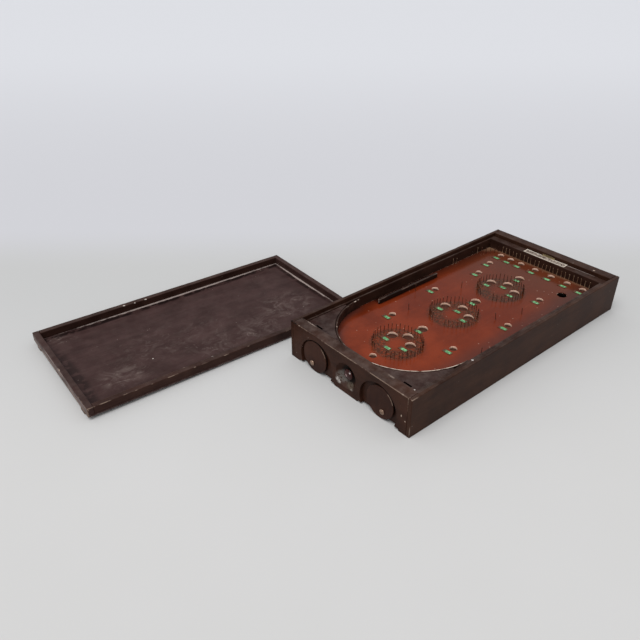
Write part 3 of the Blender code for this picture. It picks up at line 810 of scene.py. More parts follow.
def node_board(node, paint, wear, edge=BOARD_EDGE):
    """A board in the place of a CAD board of the box."""
    low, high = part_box(node)
    piece(node + "_wood", board_mesh(low, high, edge, wear), paint, node)


def near_corner(spot):
    """A share that falls from 1 at the box's near upper corner to 0 at a distance."""
    corner = Vector((-half_length, -half_width, box_height))
    return max(0.0, 1.0 - (spot - corner).length / NEAR_CORNER_REACH)


def outer_faces(spot, reach_x, reach_y, top):
    """How many of the outer faces of the box or the lid a spot lies on."""
    margin = OUTER_MARGIN
    on_sides = (abs(spot.x) > reach_x - margin, abs(spot.y) > reach_y - margin)
    return sum(on_sides + (spot.z > top - margin, spot.z < margin))


def rail_wear(spot):
    """Wear of the box's rails: their outer edges, most at the near corner."""
    if outer_faces(spot, half_length, half_width, box_height) < 2:
        return 0.42 if abs(spot.x) < half_length - 0.003 else 0.0
    at_end = spot.x < -half_length + 0.003
    on_top = spot.z > box_height - 0.0014
    if at_end and on_top and abs(spot.y) < half_width - 0.0085:
        return 1.30 if spot.y < 0 else 0.95
    if at_end and not on_top:
        return 0.12
    return 0.62 + (1.3 * near_corner(spot) if spot.y < 0.002 - half_width else 0.0)


def strip_wear_and_highlight(spot):
    """Wear of the bent strip: its upper edge is rubbed bare round its near half, which also paints a
    highlight there.
    """
    turn = atan2(spot.y - field_middle, spot.x - arc_centre) % (2 * pi)
    share = max(0.0, min(1.0, (turn - RUBBED_AND_LIT[0]) * 4, (RUBBED_AND_LIT[1] - turn) * 4))
    inside = hypot(spot.y - field_middle, spot.x - arc_centre) < arc_outer - ARC_STRIP / 2
    if spot.z < field_top + 0.02:
        return 0.2
    return 0.85 + 2.0 * share if inside else 0.45


def lid_wear(spot):
    """Wear of the lid: its outer edges, most at the near corner and under its round end."""
    if outer_faces(spot, lid_end, lid_side, LID_HEIGHT) < 2:
        return 0.40
    level = 0.64 + 0.6 * max(0.0, 1.0 - hypot(spot.x + lid_end, spot.y + lid_side) / LID_CORNER_REACH)
    if spot.y < 0 and spot.z > LID_HEIGHT - 0.003 and abs(spot.x) < lid_end - 0.004:
        level = max(level, 1.15 - 0.8 * (spot.x + lid_end))
    return level + (0.9 if spot.x < -lid_end + 0.004 and spot.z < 0.006 else 0.0)


def pockets():
    """Name, centre and radius of each pocket, and the centre and radius of the ball hole."""
    found = []
    hole = None
    for opening in frame["record"]["physics"]["openings"]:
        name = opening["name"]
        if "pocket" not in name and name != "ball_hole":
            continue
        low, high = opening["box_m"]
        radius = LARGE_POCKET if high[0] - low[0] > SMALL_OPENING else SMALL_POCKET
        spot = ((low[0] + high[0]) / 2, (low[1] + high[1]) / 2, radius)
        if name == "ball_hole":
            hole = spot
        else:
            found.append((name, spot))
    return found, hole


pocket_spots, ball_hole = pockets()
ring_centres = [
    (x - RING_BEHIND_POCKET, y + RING_SIDE_SHIFT, field_top)
    for name, (x, y, _radius) in pocket_spots
    if name.startswith("cluster") and "middle" in name
]


# Paints: marks are (centre, radii, colour, amount), and dust and bands of painted shade are (centre, radii,
# amount)


def build_box_paints():
    end = -half_length
    top = box_height
    ledge = top - LEDGE_DROP
    near_marks = (
        ((-0.3556, -0.1085, top), (0.0030, 0.011, 0.003), (136, 120, 110), 0.8),
        ((-0.3535, 0.145, top), (0.0018, 0.020, 0.003), (164, 147, 136), 0.9),
        # Painted shade: the inner edge at the back corner is chipped down to the shaded step
        ((-0.3540, 0.172, top), (0.0022, 0.006, 0.003), SHADED_CHIP, 0.9),
        ((end, 0.171, top), (0.0024, 0.008, 0.003), SHADED_CHIP, 0.9),
        ((end, 0.158, top), (0.0020, 0.003, 0.002), (170, 152, 140), 0.9),
        ((end, -0.1625, top), (0.0020, 0.004, 0.002), (226, 208, 190), 1.0),
        ((end, -0.1638, 0.0432), (0.002, 0.0017, 0.0036), CHIP, 1.0),
        ((end, -0.1745, 0.0351), (0.002, 0.0022, 0.0018), CHIP, 1.0),
        ((end + 0.008, 0.015, cue_z - 0.012), (0.022, 0.022, 0.017), (112, 106, 101), 0.8),
        ((end + 0.004, -0.010, cue_z - 0.023), (0.016, 0.018, 0.008), (104, 94, 82), 0.7),
        # Painted highlight along the dish's lower rim
        ((end, 0.0222, cue_z - 0.0222), (0.0022, 0.0120, 0.0100), (184, 176, 170), 0.9),
        ((end, -0.018, cue_z - 0.026), (0.003, 0.006, 0.004), (150, 140, 132), 0.7),
    )
    far_marks = (
        ((0.3606, -0.128, top), (0.003, 0.004, 0.002), CHIP, 1.0),
        ((0.3566, -0.070, top), (0.0020, 0.0020, 0.002), (206, 196, 186), 1.0),
    )
    end_chips = (
        ((end, half_width - 0.004, top), (0.004, 0.005, 0.004), SHADED_CHIP, 0.9),
        ((end, -half_width, 0.016), (0.0018, 0.0018, 0.018), (130, 112, 100), 0.8),
        ((end, -half_width, top), (0.004, 0.002, 0.002), (208, 186, 166), 0.9),
    )
    low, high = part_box("lane_rail")
    # Painted highlight on the lane rail's rounded nose
    nose = ((low.x, low.y + 0.003, high.z - 0.005), (0.005, 0.0030, 0.0075), (132, 116, 108), 0.85)
    lining_speck = ((-0.1757, -0.1691, ledge), (0.0030, 0.0030, 0.003), (236, 230, 224), 1.0)
    block_speck = ((-0.3402, -0.1576, 0.084), (0.0024, 0.0024, 0.003), (226, 218, 210), 1.0)
    ledge_cloud = ((0.342, -0.10, ledge), (0.02, 0.06, 0.01), 0.4)
    ledge_line = ((0.3527, -0.06, ledge), (0.0085, 0.16, 0.02), 0.6)
    paints["end_rail"] = varnished(
        "round_end_varnish", 1, (44, 24, 16), (68, 41, 30), 0.24, marks=near_marks,
        # Painted shade inside the finger dish
        painted_shade=(end + 0.0080, end + 0.0125, top - 0.0006),
    )
    paints["rail_x"] = varnished("rail_varnish_x", 0, *BROWN, marks=end_chips)
    paints["rail_y"] = varnished("rail_varnish_y", 1, *BROWN, marks=far_marks)
    paints["lining_x"] = varnished(
        "lining_varnish_x", 0, *INNER_BROWN, 0.2, bare=(140, 118, 104), marks=[lining_speck],
    )
    paints["lane"] = varnished(
        "lane_rail_varnish", 0, (22, 13, 10), (38, 25, 20), 0.1, bare=(122, 102, 92), gloss=(0.22, 0.36),
        marks=[nose],
    )
    paints["lining_y"] = varnished(
        "lining_varnish_y", 1, *INNER_BROWN, clouds=[ledge_cloud], lines=[ledge_line],
    )
    paints["block"] = varnished("block_varnish", 1, (40, 22, 19), (64, 42, 37), 0.2, marks=[block_speck])
    # The strip's near-white line is worn wood and a painted highlight
    paints["strip"] = varnished(
        "bent_strip_varnish", 1, (36, 21, 16), (68, 45, 35), bare=(250, 234, 218), under=(206, 182, 164),
        rub_and_highlight=strip_rub_and_highlight,
    )
    paints["disc"] = varnished(
        # Painted shade on the disc's rim and back
        "disc_varnish", 2, (44, 23, 16), (68, 40, 29), 0.08, painted_shade=(end + 0.0011, end + 0.0020, 1.0),
    )
    paints["panel"] = varnished("bottom_varnish", 0, (40, 24, 18), (66, 44, 35), 0.0)


def build_lid_paints():
    top = LID_HEIGHT
    level = LID_PANEL
    clouds = (
        ((0.23, -0.05, level), (0.12, 0.09, 0.02), 0.85),
        ((0.11, -0.10, level), (0.12, 0.07, 0.02), 0.75),
        ((0.00, -0.10, level), (0.13, 0.07, 0.02), 0.62),
        ((-0.24, -0.09, level), (0.09, 0.07, 0.02), 0.85),
        ((-0.30, 0.14, level), (0.06, 0.04, 0.02), 0.85),
        ((-0.08, -0.02, level), (0.28, 0.13, 0.02), 0.36),
    )
    lines = (
        ((0.05, lid_inner_side, level), (0.60, 0.0125, 0.02), 0.9),
        ((lid_inner_end, 0.03, level), (0.0105, 0.26, 0.02), 0.95),
    )
    # Painted shade along the inside of the lid's back, square-end and round-end rails
    shade_bands = (
        ((0.0, lid_inner_side - 0.011, level), (0.75, 0.013, 0.02), 0.95),
        ((lid_inner_end - 0.010, 0.03, level), (0.009, 0.20, 0.02), 0.7),
        ((-lid_inner_end + 0.012, -0.05, level), (0.022, 0.20, 0.02), 0.6),
    )
    panel_marks = (
        ((-lid_end, 0.0, 0.0005), (0.003, 0.26, 0.0075), (168, 152, 144), 0.85),
        ((0.0, -lid_side, 0.0), (0.50, 0.003, 0.004), (128, 112, 106), 0.5),
        ((-0.1575, -0.0682, level), (0.0024, 0.0024, 0.003), LID_CHIP, 1.0),
    )
    rail_marks = (
        ((-0.125, lid_inner_side + 0.003, top), (0.004, 0.003, 0.003), LID_CHIP, 1.0),
        ((-0.097, lid_inner_side, top), (0.003, 0.002, 0.003), LID_CHIP, 0.8),
        ((-0.067, lid_inner_side, top), (0.004, 0.003, 0.003), LID_CHIP, 1.0),
        ((-0.055, -lid_inner_side + 0.001, top), (0.006, 0.003, 0.003), LID_CHIP, 1.0),
        ((-0.1265, -lid_inner_side, top), (0.004, 0.002, 0.002), CHIP, 0.8),
    )
    dusty_end = (
        ((-lid_end, 0.0, 0.012), (0.0012, 0.30, 0.018), (146, 128, 122), 0.85),
        ((-lid_end, -0.009, top), (0.003, 0.008, 0.002), CHIP, 0.7),
    )
    paints["lid_panel"] = varnished(
        "lid_panel_varnish", 0, (51, 32, 30), (72, 51, 49), 0.05, clouds=clouds, lines=lines,
        marks=panel_marks, shade_bands=shade_bands,
    )
    paints["lid_x"] = varnished("lid_varnish_x", 0, (43, 25, 20), (66, 43, 36), marks=rail_marks)
    paints["lid_y"] = varnished("lid_varnish_y", 1, (48, 30, 27), (69, 48, 44), marks=dusty_end)
    paints["tab"] = varnished("lid_tab_varnish", 1, (54, 38, 32), (88, 70, 61))


def build_other_paints():
    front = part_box("cue_knob")[0].x
    # Painted highlights on the knob: a pink spot on its end and a pale fleck on its upper shoulder
    knob_highlights = (
        ((front, 0.0035, cue_z - 0.002), (0.0030, 0.0042, 0.0042), (168, 138, 136), 0.85),
        ((front + 0.0022, -0.0062, cue_z + 0.0080), (0.0022, 0.0030, 0.0026), (232, 222, 218), 0.95),
    )
    # The cue shaft gets painted shade where it lies inside the end rail
    shade_end = -half_length + 0.026
    paints["knob"] = varnished(
        "knob_polish", 0, (46, 17, 16), (74, 33, 30), 0.02, gloss=(0.05, 0.11), shine=0.22, marks=knob_highlights,
    )
    paints["field"] = playfield_paint(ring_centres)
    paints["board"] = bare_wood("pocket_wood", 0, (230, 188, 162), (250, 218, 196), field_top - POCKET_DEPTH)
    paints["bearer"] = bare_wood("bearer_wood", 1, (150, 116, 84), (196, 160, 122))
    paints["shaft"] = bare_wood("cue_wood", 0, (158, 118, 78), (204, 166, 118), shade_before=shade_end)
    paints["nail"] = old_metal("nail_metal", (150, 104, 78), (62, 36, 25), 0.45, 0.3)
    # The fence nails get a paler copy of the nail metal: painted light
    paints["fence"] = old_metal("fence_nail_metal_painted_light", (190, 162, 134), (126, 94, 72), 0.52, 0.3)
    paints["steel"] = old_metal("screw_metal", (170, 142, 122), (104, 78, 64), 0.52, 0.85)
    paints["green"] = label_paper()
    paints["label"] = paper("aged_paper", (220, 208, 194), (200, 186, 170), (160, 142, 124))
    paints["torn"] = paper("torn_paper", (152, 134, 100), (130, 112, 80), (98, 80, 58))
    paints["print"] = faded_print()
    paints["ink"] = ink()
    paints["slot"] = slot_grime()


# The box


def build_rails():
    for node in ("side_rail_back", "side_rail_front"):
        node_board(node, "rail_x", rail_wear, RAIL_EDGE)
    node_board("square_end_rail", "rail_y", rail_wear, RAIL_EDGE)
    node_board("lining_back", "lining_x", inner_wear, LINING_BACK_EDGE)
    node_board("lining_front", "lining_x", inner_wear)
    node_board("lining_square_end", "lining_y", inner_wear)
    node_board("bottom_panel", "panel", inner_wear, PANEL_EDGE)


def build_round_end_rail():
    """The round end's rail, with its disc recesses, foot cuts, screw holes, finger dish and cue hole."""
    low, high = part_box("round_end_rail")
    base = prism_mesh(box_outline((low.y, low.z), (high.y, high.z)), low.x, high.x, True)
    outside = low.x - OVERRUN
    inside = high.x + OVERRUN
    cutters = []
    for side in (1, -1):
        middle = side * (pivot_y - RECESS_INWARD)
        recess = circle((middle, pivot_z + RECESS_UP), RECESS_RADIUS, sides=112)
        cutters.append(prism_mesh(recess, outside, low.x + RECESS_FLOOR, True))
        reach = RECESS_RADIUS + FOOT_CUT_MARGIN
        foot = box_outline((middle - reach, -OVERRUN), (middle + reach, FOOT_CUT_HEIGHT))
        cutters.append(prism_mesh(foot, outside, inside, True))
        bore = circle((side * pivot_y, pivot_z), SCREW_BORE, sides=20)
        cutters.append(prism_mesh(bore, outside, low.x + SCREW_BORE_DEPTH, True))
    ball = (DISH_RADIUS ** 2 + DISH_DEPTH ** 2) / (2 * DISH_DEPTH)
    turns = [pi * step / 40 for step in range(41)]
    profile = [(-ball * cos(turn), ball * sin(turn)) for turn in turns]
    cutters.append(lathe_mesh(profile, 72, Matrix.Translation((low.x + DISH_DEPTH - ball, 0.0, cue_z))))
    cutters.append(prism_mesh(circle((0.0, cue_z), CUE_BORE, sides=24), outside, inside, True))

    def on_box(spot):
        on_ends = (spot.x < low.x + TOUCH, spot.x > high.x - TOUCH)
        return sum(on_ends + (spot.z > high.z - TOUCH, spot.z < TOUCH)) > 1

    def on_recess(spot):
        return spot.x < low.x + TOUCH and RECESS_RIM[0] < spot.z < high.z - RECESS_RIM[1]

    shape = soften(cut(base, cutters), END_RAIL_EDGE, 3, rail_wear, on_box)
    soften(shape, RECESS_EDGE, 2, rail_wear, on_recess)
    piece("round_end_rail_wood", shape, "end_rail", "round_end_rail")


def build_arc_strip():
    """The strip that is bent round the playfield's end."""
    low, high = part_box("arc_strip")
    middle = (arc_inner + arc_outer) / 2

    def bend(spot):
        turn = pi / 2 + spot.x / middle
        return Vector((arc_centre + spot.y * cos(turn), field_middle + spot.y * sin(turn), spot.z))

    strip = board_mesh(
        (0.0, arc_inner, low.z), (pi * middle, arc_outer, high.z), STRIP_EDGE,
        lambda spot: strip_wear_and_highlight(bend(spot)), step=0.005, bend=bend, share=0.6,
    )
    piece("arc_strip_wood", strip, "strip", "arc_strip")


def corner_outline():
    """Outline of the back corner block from the middle of the arc, hollowed to clear the bent strip."""
    hollow = arc_outer + ARC_SHADOW
    reach_x = arc_centre - (round_face + GAP)
    reach_y = field_half - GAP
    start = asin(sqrt(hollow ** 2 - (reach_x - BLOCK_TIP) ** 2) / hollow)
    end = asin((reach_y - BLOCK_TIP) / hollow)
    turns = [start + (end - start) * step / ARC_STEPS for step in range(ARC_STEPS + 1)]
    arc = [(-hollow * cos(turn), hollow * sin(turn)) for turn in turns]
    return [(-reach_x, arc[0][1])] + arc + [(arc[-1][0], reach_y), (-reach_x, reach_y)]


def build_corner_block(name, side):
    """A corner block behind the bent strip, with a slot for a tab of the lid."""
    node = "corner_block_" + name
    low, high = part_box(node)
    outline = [(arc_centre + x, field_middle + side * y) for x, y in corner_outline()]
    slot_x = round_face + SLOT_INSET
    slot_y = side * SLOT_SPREAD
    half_x = SLOT_WIDTH / 2
    half_y = SLOT_LENGTH / 2
    slot = box_outline((slot_x - half_x, slot_y - half_y), (slot_x + half_x, slot_y + half_y))
    block = cut(prism_mesh(outline, low.z, high.z), [prism_mesh(slot, high.z - SLOT_DEPTH, high.z + CLEAR)])

    def in_slot(spot):
        return abs(spot.x - slot_x) < half_x + 2e-4 and abs(spot.y - slot_y) < half_y + 2e-4

    soften(block, BLOCK_EDGE, 2, inner_wear, lambda spot: not in_slot(spot))
    for face in block.faces:
        if in_slot(face.calc_center_median()):
            face.material_index = 1
    piece(node + "_wood", block, "block slot", node)


def pocket_cutter(spot, floor, top, fillet):
    """A round cutter with a filleted lower edge."""
    x, y, radius = spot
    profile = [(floor, 0.0)]
    if fillet:
        for step in range(5):
            turn = pi / 2 * step / 4
            profile.append((floor + fillet * (1 - cos(turn)), radius - fillet + fillet * sin(turn)))
    else:
        profile.append((floor, radius))
    profile += [(top, radius), (top, 0.0)]
    return lathe_mesh(profile, 40, Matrix.Translation((x, y, 0.0)) @ Matrix.Rotation(-pi / 2, 4, "Y"))


def lip_wear_and_highlight(spot):
    """Wear of a pocket's lip, and a painted highlight along its far side."""
    places = [place for _name, place in pocket_spots]
    x, y, _radius = min(places, key=lambda place: hypot(spot.x - place[0], spot.y - place[1]))
    away = max(1e-6, hypot(spot.x - x, spot.y - y))
    return 0.3 + 1.3 * max(0.0, (0.70 * (spot.x - x) + 0.71 * (spot.y - y)) / away)


def build_playfield():
    """The playfield's facing and the board under it, both with round-lipped pockets."""
    top = field_top + CLEAR
    low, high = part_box("playfield_board")
    for node, base_low, base_high, paint, slot in (
        ("playfield_board", low.z, high.z, "board", "bare_wood"),
        ("playfield_facing", high.z + GAP, field_top, "field", "red_brown_board"),
    ):
        outline = box_outline((low.x, low.y), (high.x, high.y))
        floor = field_top - POCKET_DEPTH
        cutters = [pocket_cutter(spot, floor, top, POCKET_FILLET) for _name, spot in pocket_spots]
        cutters.append(pocket_cutter(ball_hole, low.z - CLEAR, top, 0.0))
        shape = cut(prism_mesh(outline, base_low, base_high), [join_meshes(cutters)])
        soften(shape, LIP, 3, lip_wear_and_highlight, lambda spot: spot.z > field_top - TOUCH)
        for face in shape.faces:
            spot = face.calc_center_median()
            if abs(face.normal.z) < 0.5:
                in_hole = hypot(spot.x - ball_hole[0], spot.y - ball_hole[1]) < ball_hole[2] + 0.001
                face.material_index = 2 if in_hole else 1
        piece(node + "_sheet", shape, paint + " board slot", node)


def nail_places():
    places = []
    for x, y, _level in ring_centres:
        for step in range(RING_SPACES - RING_GAP_SPACES + 1):
            turn = pi + 2 * pi * (step + RING_GAP_SPACES / 2) / RING_SPACES
            places.append((x + RING_RADIUS * cos(turn), y + RING_RADIUS * sin(turn)))
    fence_x = field_end - FENCE_SETBACK
    fence_top = field_middle + FENCE_TOP_SHARE * field_half
    count = int((fence_top - field_front) / FENCE_SPACING)
    places += [(fence_x, fence_top - step * FENCE_SPACING) for step in range(count)]
    rise = field_back - FENCE_SETBACK - fence_top
    for step in range(CORNER_SPACES):
        share = (step + 1) / CORNER_SPACES
        places.append((fence_x - share * CORNER_REACH, fence_top + share * rise))
    for up, across in LOOSE_NAILS:
        places.append((field_end - up * field_length, field_middle + across * field_half))
    return places


def build_nails():
    """Thin round nails with small heads, none quite upright."""
    bm = bmesh.new()
    for x, y in nail_places():
        height = NAIL_HEIGHT - random.uniform(0.0, NAIL_SHORTFALL)
        lean = radians(min(NAIL_LEAN_LIMIT, abs(random.gauss(0.0, NAIL_LEAN))))
        turn = random.uniform(0.0, 2 * pi)
        x += random.uniform(-NAIL_STRAY, NAIL_STRAY)
        y += random.uniform(-NAIL_STRAY, NAIL_STRAY)
        profile = [(-NAIL_ROOT, 0.0), (-NAIL_ROOT, NAIL_RADIUS)]
        profile += [(height + drop, NAIL_RADIUS * share) for drop, share in NAIL_HEAD]
        aim = Matrix.Rotation(turn, 4, "Z") @ Matrix.Rotation(lean - pi / 2, 4, "Y")
        before = len(bm.faces)
        lathe_mesh(profile, 10, Matrix.Translation((x, y, field_top)) @ aim, bm)
        bm.faces.ensure_lookup_table()
        in_fence = x > field_end - 2 * FENCE_SETBACK or y > field_back - 2 * FENCE_SETBACK
        for face in bm.faces[before:]:
            face.material_index = 1 if in_fence else 0
    piece("field_nails", bm, "nail fence", "playfield_facing", angle=50)


def sheet_solid(rows, columns, lower, upper):
    """A thin solid between two sheets, each given as the point and wear at a row and column."""
    bm = bmesh.new()
    layer = bm.verts.layers.float.new("edge")
    sheets = []
    for place in (lower, upper):
        sheet = {}
        for i in range(rows + 1):
            for j in range(columns + 1):
                point, worn = place(i, j)
                sheet[i, j] = bm.verts.new(point)
                sheet[i, j][layer] = worn
        sheets.append(sheet)
    low, high = sheets
    for i in range(rows):
        for j in range(columns):
            bm.faces.new((high[i, j], high[i + 1, j], high[i + 1, j + 1], high[i, j + 1]))
            bm.faces.new((low[i, j], low[i, j + 1], low[i + 1, j + 1], low[i + 1, j]))
    border = [(i, 0) for i in range(rows)] + [(rows, j) for j in range(columns)]
    border += [(i, columns) for i in range(rows, 0, -1)] + [(0, j) for j in range(columns, 0, -1)]
    for spot, after in zip(border, border[1:] + border[:1]):
        bm.faces.new((low[spot], low[after], high[after], high[spot]))
    return bm


def sheet_mesh(low, high, curl, seed, clean):
    """A thin paper sheet whose corners lift a little, and the lift as a function of place.

    Its "edge" is 0.5 at the border of the clean part, given as a centre and half sizes in x and y.
    """
    dice = random.Random(seed)
    lifts = [curl * dice.uniform(0.2, 1.0) for _ in range(4)]
    middle = (Vector(low) + Vector(high)) / 2
    half = (Vector(high) - Vector(low)) / 2
    across = 10
    length = max(8, int(2 * half.y / 0.0018))

    def lift(x, y):
        u = (x - middle.x) / half.x
        v = (y - middle.y) / half.y
        total = 0.0
        for most, (su, sv) in zip(lifts, ((1, 1), (-1, 1), (-1, -1), (1, -1))):
            total += most * max(0.0, (1 + su * u) / 2 * (1 + sv * v) / 2 - 0.45) ** 2 * 3.3
        return total

    def sheet_at(level):
        def place(i, j):
            x = low[0] + 2 * half.x * i / across
            y = low[1] + 2 * half.y * j / length
            if i in (0, across) or j in (0, length):
                ragged = 0.00012 * noise.noise(Vector((x * 900, y * 900, seed)))
                x += ragged
                y += ragged
            outward = max(abs(x - clean[0]) / clean[2], abs(y - clean[1]) / clean[3])
            return (x, y, level + lift(x, y)), max(0.0, (outward - 0.7) / 0.6)
        return place

    return sheet_solid(across, length, sheet_at(low[2]), sheet_at(high[2])), lift


def number_mesh(text):
    """Plain numerals as a thin solid, centred on the origin."""
    curve = bpy.data.curves.new("numerals", "FONT")
    curve.body = text
    curve.size = NUMERAL_SIZE
    curve.align_x = "CENTER"
    curve.align_y = "CENTER"
    curve.extrude = NUMERAL_THICKNESS / 2
    curve.resolution_u = 3
    thing = bpy.data.objects.new("numerals", curve)
    bpy.context.scene.collection.objects.link(thing)
    bm = evaluated_mesh(thing)
    bmesh.ops.remove_doubles(bm, verts=bm.verts, dist=1e-7)
    bpy.data.objects.remove(thing)
    bpy.data.curves.remove(curve)
    return bm


def add_print(sheet, marks, lift):
    """Printed marks laid on a sheet, following its lift."""
    for vert in marks.verts:
        vert.co.z += lift(vert.co.x, vert.co.y)
    for face in marks.faces:
        face.material_index = 1
    return join_meshes([sheet, marks])


def build_labels():
    """The green score labels with plain numbers that read from the player's end."""
    near_rim, far_rim, side_rim = LABEL_RIM
    for number, score in enumerate(SCORES, start=1):
        node = f"score_label_{number:02d}"
        low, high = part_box(node)
        stained_low = (low.x - near_rim, low.y - side_rim, low.z)
        stained_high = (high.x + far_rim, high.y + side_rim, high.z)
        middle = (low + high) / 2
        middle.y -= LABEL_SHIFT[0] + LABEL_SHIFT[1] * noise.noise(middle * 40)
        clean = (middle.x, middle.y, *LABEL_CLEAN)
        sheet, lift = sheet_mesh(stained_low, stained_high, LABEL_CURL, number, clean)
        marks = number_mesh(score)
        place = Matrix.Translation((middle.x, middle.y, high.z + NUMERAL_THICKNESS / 2))
        bmesh.ops.transform(marks, matrix=place @ Matrix.Rotation(pi / 2, 4, "Z"), verts=marks.verts)
        piece(node + "_paper", add_print(sheet, marks, lift), "green ink", node)


def curl_mesh(edge_x, level):
    """A torn strip of paper that rises from a sheet's edge and curls back over it."""
    rows = 12
    columns = 14
    low_y, high_y = TORN_RUN

    def sheet_at(reach):
        def place(i, j):
            y = low_y + (high_y - low_y) * j / columns
            wave = 0.10 * noise.noise(Vector((y * 260, 4.0, 1.0)))
            turn = TORN_SWEEP * (0.72 + 0.28 * sin(pi * j / columns) + wave) * i / rows
            return (edge_x + reach * sin(turn), y, level + TORN_RADIUS - reach * cos(turn)), 0.0
        return place

    bm = sheet_solid(rows, columns, sheet_at(TORN_RADIUS - TORN_THICKNESS), sheet_at(TORN_RADIUS))
    bmesh.ops.recalc_face_normals(bm, faces=bm.faces)
    for face in bm.faces:
        face.material_index = 2
    return bm


def frame_mesh(outer, inner, low, high):
    """A flat printed frame between two outlines, with points along its sides to follow a sheet."""
    def dense(outline):
        points = []
        for (x, y), (u, v) in zip(outline, outline[1:] + outline[:1]):
            for k in range(BORDER_POINTS):
                points.append((x + (u - x) * k / BORDER_POINTS, y + (v - y) * k / BORDER_POINTS))
        return points

    bm = bmesh.new()
    rings = []
    for outline, level in ((outer, low), (outer, high), (inner, high), (inner, low)):
        rings.append([bm.verts.new((x, y, level)) for x, y in dense(outline)])
    return skin(bm, rings, around=True)


def build_end_label():
    """The aged label: a pale margin, worn print inside it, a plain border and a torn edge that curls up."""
    low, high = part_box("end_label")
    sheet, lift = sheet_mesh(low, high, END_LABEL_CURL, 77, (low.x, low.y, 1.0, 1.0))
    margin = END_LABEL_MARGIN
    for face in sheet.faces:
        spot = face.calc_center_median()
        if low.x + margin < spot.x < high.x - margin and low.y + margin < spot.y < high.y - margin:
            face.material_index = 3
    outer, inner = [
        box_outline((low.x + inset, low.y + inset), (high.x - inset, high.y - inset))
        for inset in (BORDER_INSET, BORDER_INSET + BORDER_WIDTH)
    ]
    whole = add_print(sheet, frame_mesh(outer, inner, high.z, high.z + BORDER_HEIGHT), lift)
    whole = join_meshes([whole, curl_mesh(high.x - TORN_INSET, high.z + 0.0001)])
    piece("end_label_paper", whole, "label ink torn print", "end_label")


def build_lane_rail():
    """The low rail beside the ball lane, with a rounded nose and top."""
    low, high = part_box("lane_rail")
    half = (high.y - low.y) / 2
    middle = (high.y + low.y) / 2
    turns = [pi / 2 + pi * step / 20 for step in range(21)]
    outline = [(low.x + half + half * cos(turn), middle + half * sin(turn)) for turn in turns]
    outline += [(high.x, middle - half), (high.x, middle + half)]

    # Worn top edges, which also serve as a painted highlight along the rail's top
    def lane_wear_and_highlight(spot):
        return 0.95 if spot.z > high.z - 0.004 else 0.4

    shape = soften(prism_mesh(outline, low.z, high.z), LANE_RAIL_ROUND, 4, lane_wear_and_highlight)
    piece("lane_rail_wood", shape, "lane", "lane_rail")


def build_foot(name, side):
    """A swing-out disc."""
    node = "foot_disc_" + name
    low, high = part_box(node)
    centre = ((low.y + high.y) / 2, (low.z + high.z) / 2)
    radius = (high.y - low.y) / 2
    disc = prism_mesh(circle(centre, radius, sides=120), low.x, high.x, True)
    bore = circle((side * pivot_y, pivot_z), SCREW_BORE, sides=24)

    def disc_wear(spot):
        turn = atan2(spot.z - centre[1], centre[0] - spot.y)
        return 1.05 if 0.35 < turn < 1.0 else 0.55

    def on_rim(spot):
        return hypot(spot.y - centre[0], spot.z - centre[1]) > radius - 1e-4

    shape = cut(disc, [prism_mesh(bore, low.x - CLEAR, high.x + CLEAR, True)])
    soften(shape, DISC_EDGE, 3, disc_wear, on_rim)
    piece(node + "_wood", shape, "disc", node, "foot_" + name)


def build_screw(name, side):
    """The slotted screw that a disc swings on."""
    node = "pivot_screw_" + name
    low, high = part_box(node)
    head = low.x + SCREW_HEAD_HEIGHT
    rim = head - 0.0004
    turns = [pi / 2 * step / 8 for step in range(9)]
    profile = [(rim - SCREW_DOME * cos(turn), SCREW_HEAD * sin(turn)) for turn in turns]
    profile += [(head, SCREW_HEAD), (head, SCREW_SHAFT), (high.x - 0.006, SCREW_SHAFT), (high.x, 0.0004)]
    place = Matrix.Translation((0.0, side * pivot_y, pivot_z))
    reach, half, depth = SCREW_SLOT
    slot = prism_mesh(box_outline((-reach, -half), (reach, half)), low.x - OVERRUN, low.x + depth, True)
    bmesh.ops.transform(slot, matrix=place @ Matrix.Rotation(SCREW_TURNS[name], 4, "X"), verts=slot.verts)
    shape = soften(cut(lathe_mesh(profile, 36, place), [slot]), SCREW_EDGE, 1)
    piece(node + "_metal", shape, "steel", node)


def build_cue():
    """The cue's turned knob and its shaft."""
    low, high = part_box("cue_knob")
    radius = (high.y - low.y) / 2
    profile = [((high.x - low.x) * x, radius * r) for x, r in KNOB_PROFILE]
    knob = lathe_mesh(profile, 64, Matrix.Translation((low.x, 0.0, cue_z)))
    piece("cue_knob_wood", knob, "knob", "cue_knob", "cue", angle=45)
    low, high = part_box("cue_shaft")
    radius = (high.y - low.y) / 2
    tip = high.x - CUE_TIP
    profile = [(low.x, 0.0), (low.x, radius * 0.94), (low.x + 0.0004, radius)]
    profile += [(low.x + (tip - low.x) * k / 12, radius) for k in range(1, 13)]
    for step in range(1, 7):
        turn = pi / 2 * step / 6
        profile.append((tip + CUE_TIP * sin(turn), radius * cos(turn) if step < 6 else 0.0))
    shaft = lathe_mesh(profile, 40, Matrix.Translation((0.0, 0.0, cue_z)))
    piece("cue_shaft_wood", shaft, "shaft", "cue_shaft", "cue", angle=45)


